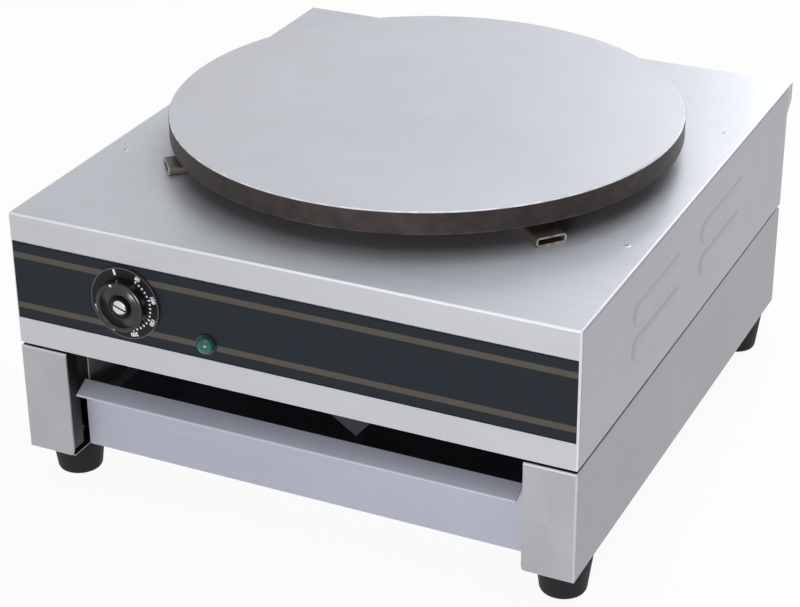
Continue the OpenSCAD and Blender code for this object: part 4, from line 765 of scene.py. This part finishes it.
def dial_print():
    """The off mark, the ticks, the dots between them and the numbers of the scale."""
    white = moulded("mark_white", (0.78, 0.78, 0.78), 0.5, depth=0.004 * MM)
    shapes = [bar(*OFF_MARK, OFF_ANGLE)]
    for degrees in NUMBER_ANGLES[:-1]:
        shapes.append(bar(*TICK, degrees))
    for start, end in zip(NUMBER_ANGLES[:-2], NUMBER_ANGLES[1:-1]):
        step = (end - start) / (DOTS_BETWEEN + 1)
        for k in range(1, DOTS_BETWEEN + 1):
            shapes.append(dot(start + step * k))
    print_on_dial("dial_graduation", raised("dial_graduation", shapes), white)
    for k, degrees in enumerate(NUMBER_ANGLES, 1):
        name = f"dial_number_{k}"
        print_on_dial(name, number_mesh(name, NUMBER_STEP * k, degrees), white)


# ---- camera ----
CAMERA_PLACE = Vector((0.6591, -1.4269, 0.9006))
CAMERA_AZIMUTH = math.radians(25.52)
CAMERA_ELEVATION = math.radians(27.32)
CAMERA_ROLL = math.radians(-0.49)
CAMERA_LENS = 98.15


def camera():
    """The pinhole camera that was fitted to the photograph."""
    data = bpy.data.cameras.new("camera")
    data.lens = CAMERA_LENS
    data.sensor_width = 36.0
    data.clip_start = 0.01
    data.clip_end = 50.0
    holder = bpy.data.objects.new("camera", data)
    bpy.context.scene.collection.objects.link(holder)
    az, el, roll = CAMERA_AZIMUTH, CAMERA_ELEVATION, CAMERA_ROLL
    forward = Vector((-math.sin(az) * math.cos(el), math.cos(az) * math.cos(el), -math.sin(el)))
    right = Vector((math.cos(az), math.sin(az), 0))
    up = right.cross(forward)
    tilted_right = right * math.cos(roll) + up * math.sin(roll)
    tilted_up = up * math.cos(roll) - right * math.sin(roll)
    turn = Matrix((tilted_right, tilted_up, -forward)).transposed().to_4x4()
    holder.matrix_world = Matrix.Translation(CAMERA_PLACE) @ turn
    bpy.context.scene.camera = holder


# ---- studio ----
LIT_POINT = Vector((0, 0, 0.15))  # the lamps face the middle of the object
WHITE = (1.0, 1.0, 1.0, 1.0)
AIR_LIGHT = 0.05
FLOOR_GLOW = 0.94
FLOOR_REACH = 6.0
FLOOR_LEVEL = -0.2 * MM
PAPER = (0.93, 0.93, 0.935)
FIBRE_SIZE = 2.5 * MM
FIBRE_TONE = 0.01


def area_light(name, place, size, watts, colour):
    """A soft rectangular lamp that faces the object."""
    data = bpy.data.lights.new(name, "AREA")
    data.shape = "RECTANGLE"
    data.size, data.size_y = size
    data.energy = watts
    data.color = colour
    lamp = bpy.data.objects.new(name, data)
    bpy.context.scene.collection.objects.link(lamp)
    lamp.rotation_euler = (LIT_POINT - Vector(place)).to_track_quat("-Z", "Y").to_euler()
    lamp.location = place


def seen_rays(tree):
    """1 for the rays that show the backdrop: camera, glossy and transmission rays."""
    path = tree.nodes.new("ShaderNodeLightPath")
    seen = path.outputs["Is Camera Ray"]
    for ray in ("Is Glossy Ray", "Is Transmission Ray"):
        both = tree.nodes.new("ShaderNodeMath")
        both.operation = "MAXIMUM"
        tree.links.new(seen, both.inputs[0])
        tree.links.new(path.outputs[ray], both.inputs[1])
        seen = both.outputs[0]
    return seen


def world():
    """Faint light from all round, and plain white where the backdrop is seen."""
    made = bpy.data.worlds.new("studio")
    bpy.context.scene.world = made
    made.use_nodes = True
    tree = made.node_tree
    background = tree.nodes["Background"]
    background.inputs["Color"].default_value = WHITE
    strength = tree.nodes.new("ShaderNodeMapRange")
    strength.inputs["To Min"].default_value = AIR_LIGHT
    strength.inputs["To Max"].default_value = 1.0
    tree.links.new(seen_rays(tree), strength.inputs["Value"])
    tree.links.new(strength.outputs[0], background.inputs["Strength"])


def floor_look():
    """White paper that keeps a light shadow: most of what the eye sees of it is plain white."""
    look = Look("floor_paper", Roughness=0.9, Specular_IOR_Level=0.1)
    fibre = look.noise(FIBRE_SIZE, detail=3.0)
    look.set("Base Color", look.tint(PAPER, look.swing(fibre, FIBRE_TONE, around=1.0)))
    glow = look.add("ShaderNodeEmission", {"Color": WHITE, "Strength": 1.0})
    mixed = look.add("ShaderNodeMixShader", {
        0: look.product(seen_rays(look.tree), FLOOR_GLOW),
        1: look.shader.outputs[0], 2: glow.outputs[0]})
    look.feed(look.tree.nodes["Material Output"].inputs["Surface"], mixed.outputs[0])
    return look


def floor():
    """A plain sheet of paper under the object."""
    made = bmesh.new()
    corners = [(-1, -1), (1, -1), (1, 1), (-1, 1)]
    made.faces.new([made.verts.new((x * FLOOR_REACH, y * FLOOR_REACH, FLOOR_LEVEL))
                    for x, y in corners])
    mesh = bpy.data.meshes.new("floor")
    made.to_mesh(mesh)
    made.free()
    sheet = bpy.data.objects.new("floor", mesh)
    bpy.context.scene.collection.objects.link(sheet)
    mesh.materials.append(floor_look().material)


def studio():
    """A low key lamp in front, a window behind, and wide soft light from above."""
    world()
    area_light("key", place=(0.5, -3.0, 0.52), size=(1.6, 0.8), watts=56,
               colour=(1.0, 0.98, 0.96))
    area_light("back_window", place=(0.25, 3.0, 1.2), size=(1.6, 1.2), watts=38,
               colour=(0.95, 0.975, 1.0))
    area_light("high", place=(0.3, 1.4, 2.7), size=(1.6, 1.6), watts=25,
               colour=(0.92, 0.96, 1.0))
    area_light("overhead", place=(0.1, 0.1, 2.8), size=(3.2, 3.2), watts=27,
               colour=(0.90, 0.955, 1.0))
    floor()


dress_sheets()
dress_metals()
dress_others()
dial_print()
camera()
studio()
bpy.context.scene.view_settings.view_transform = "Standard"
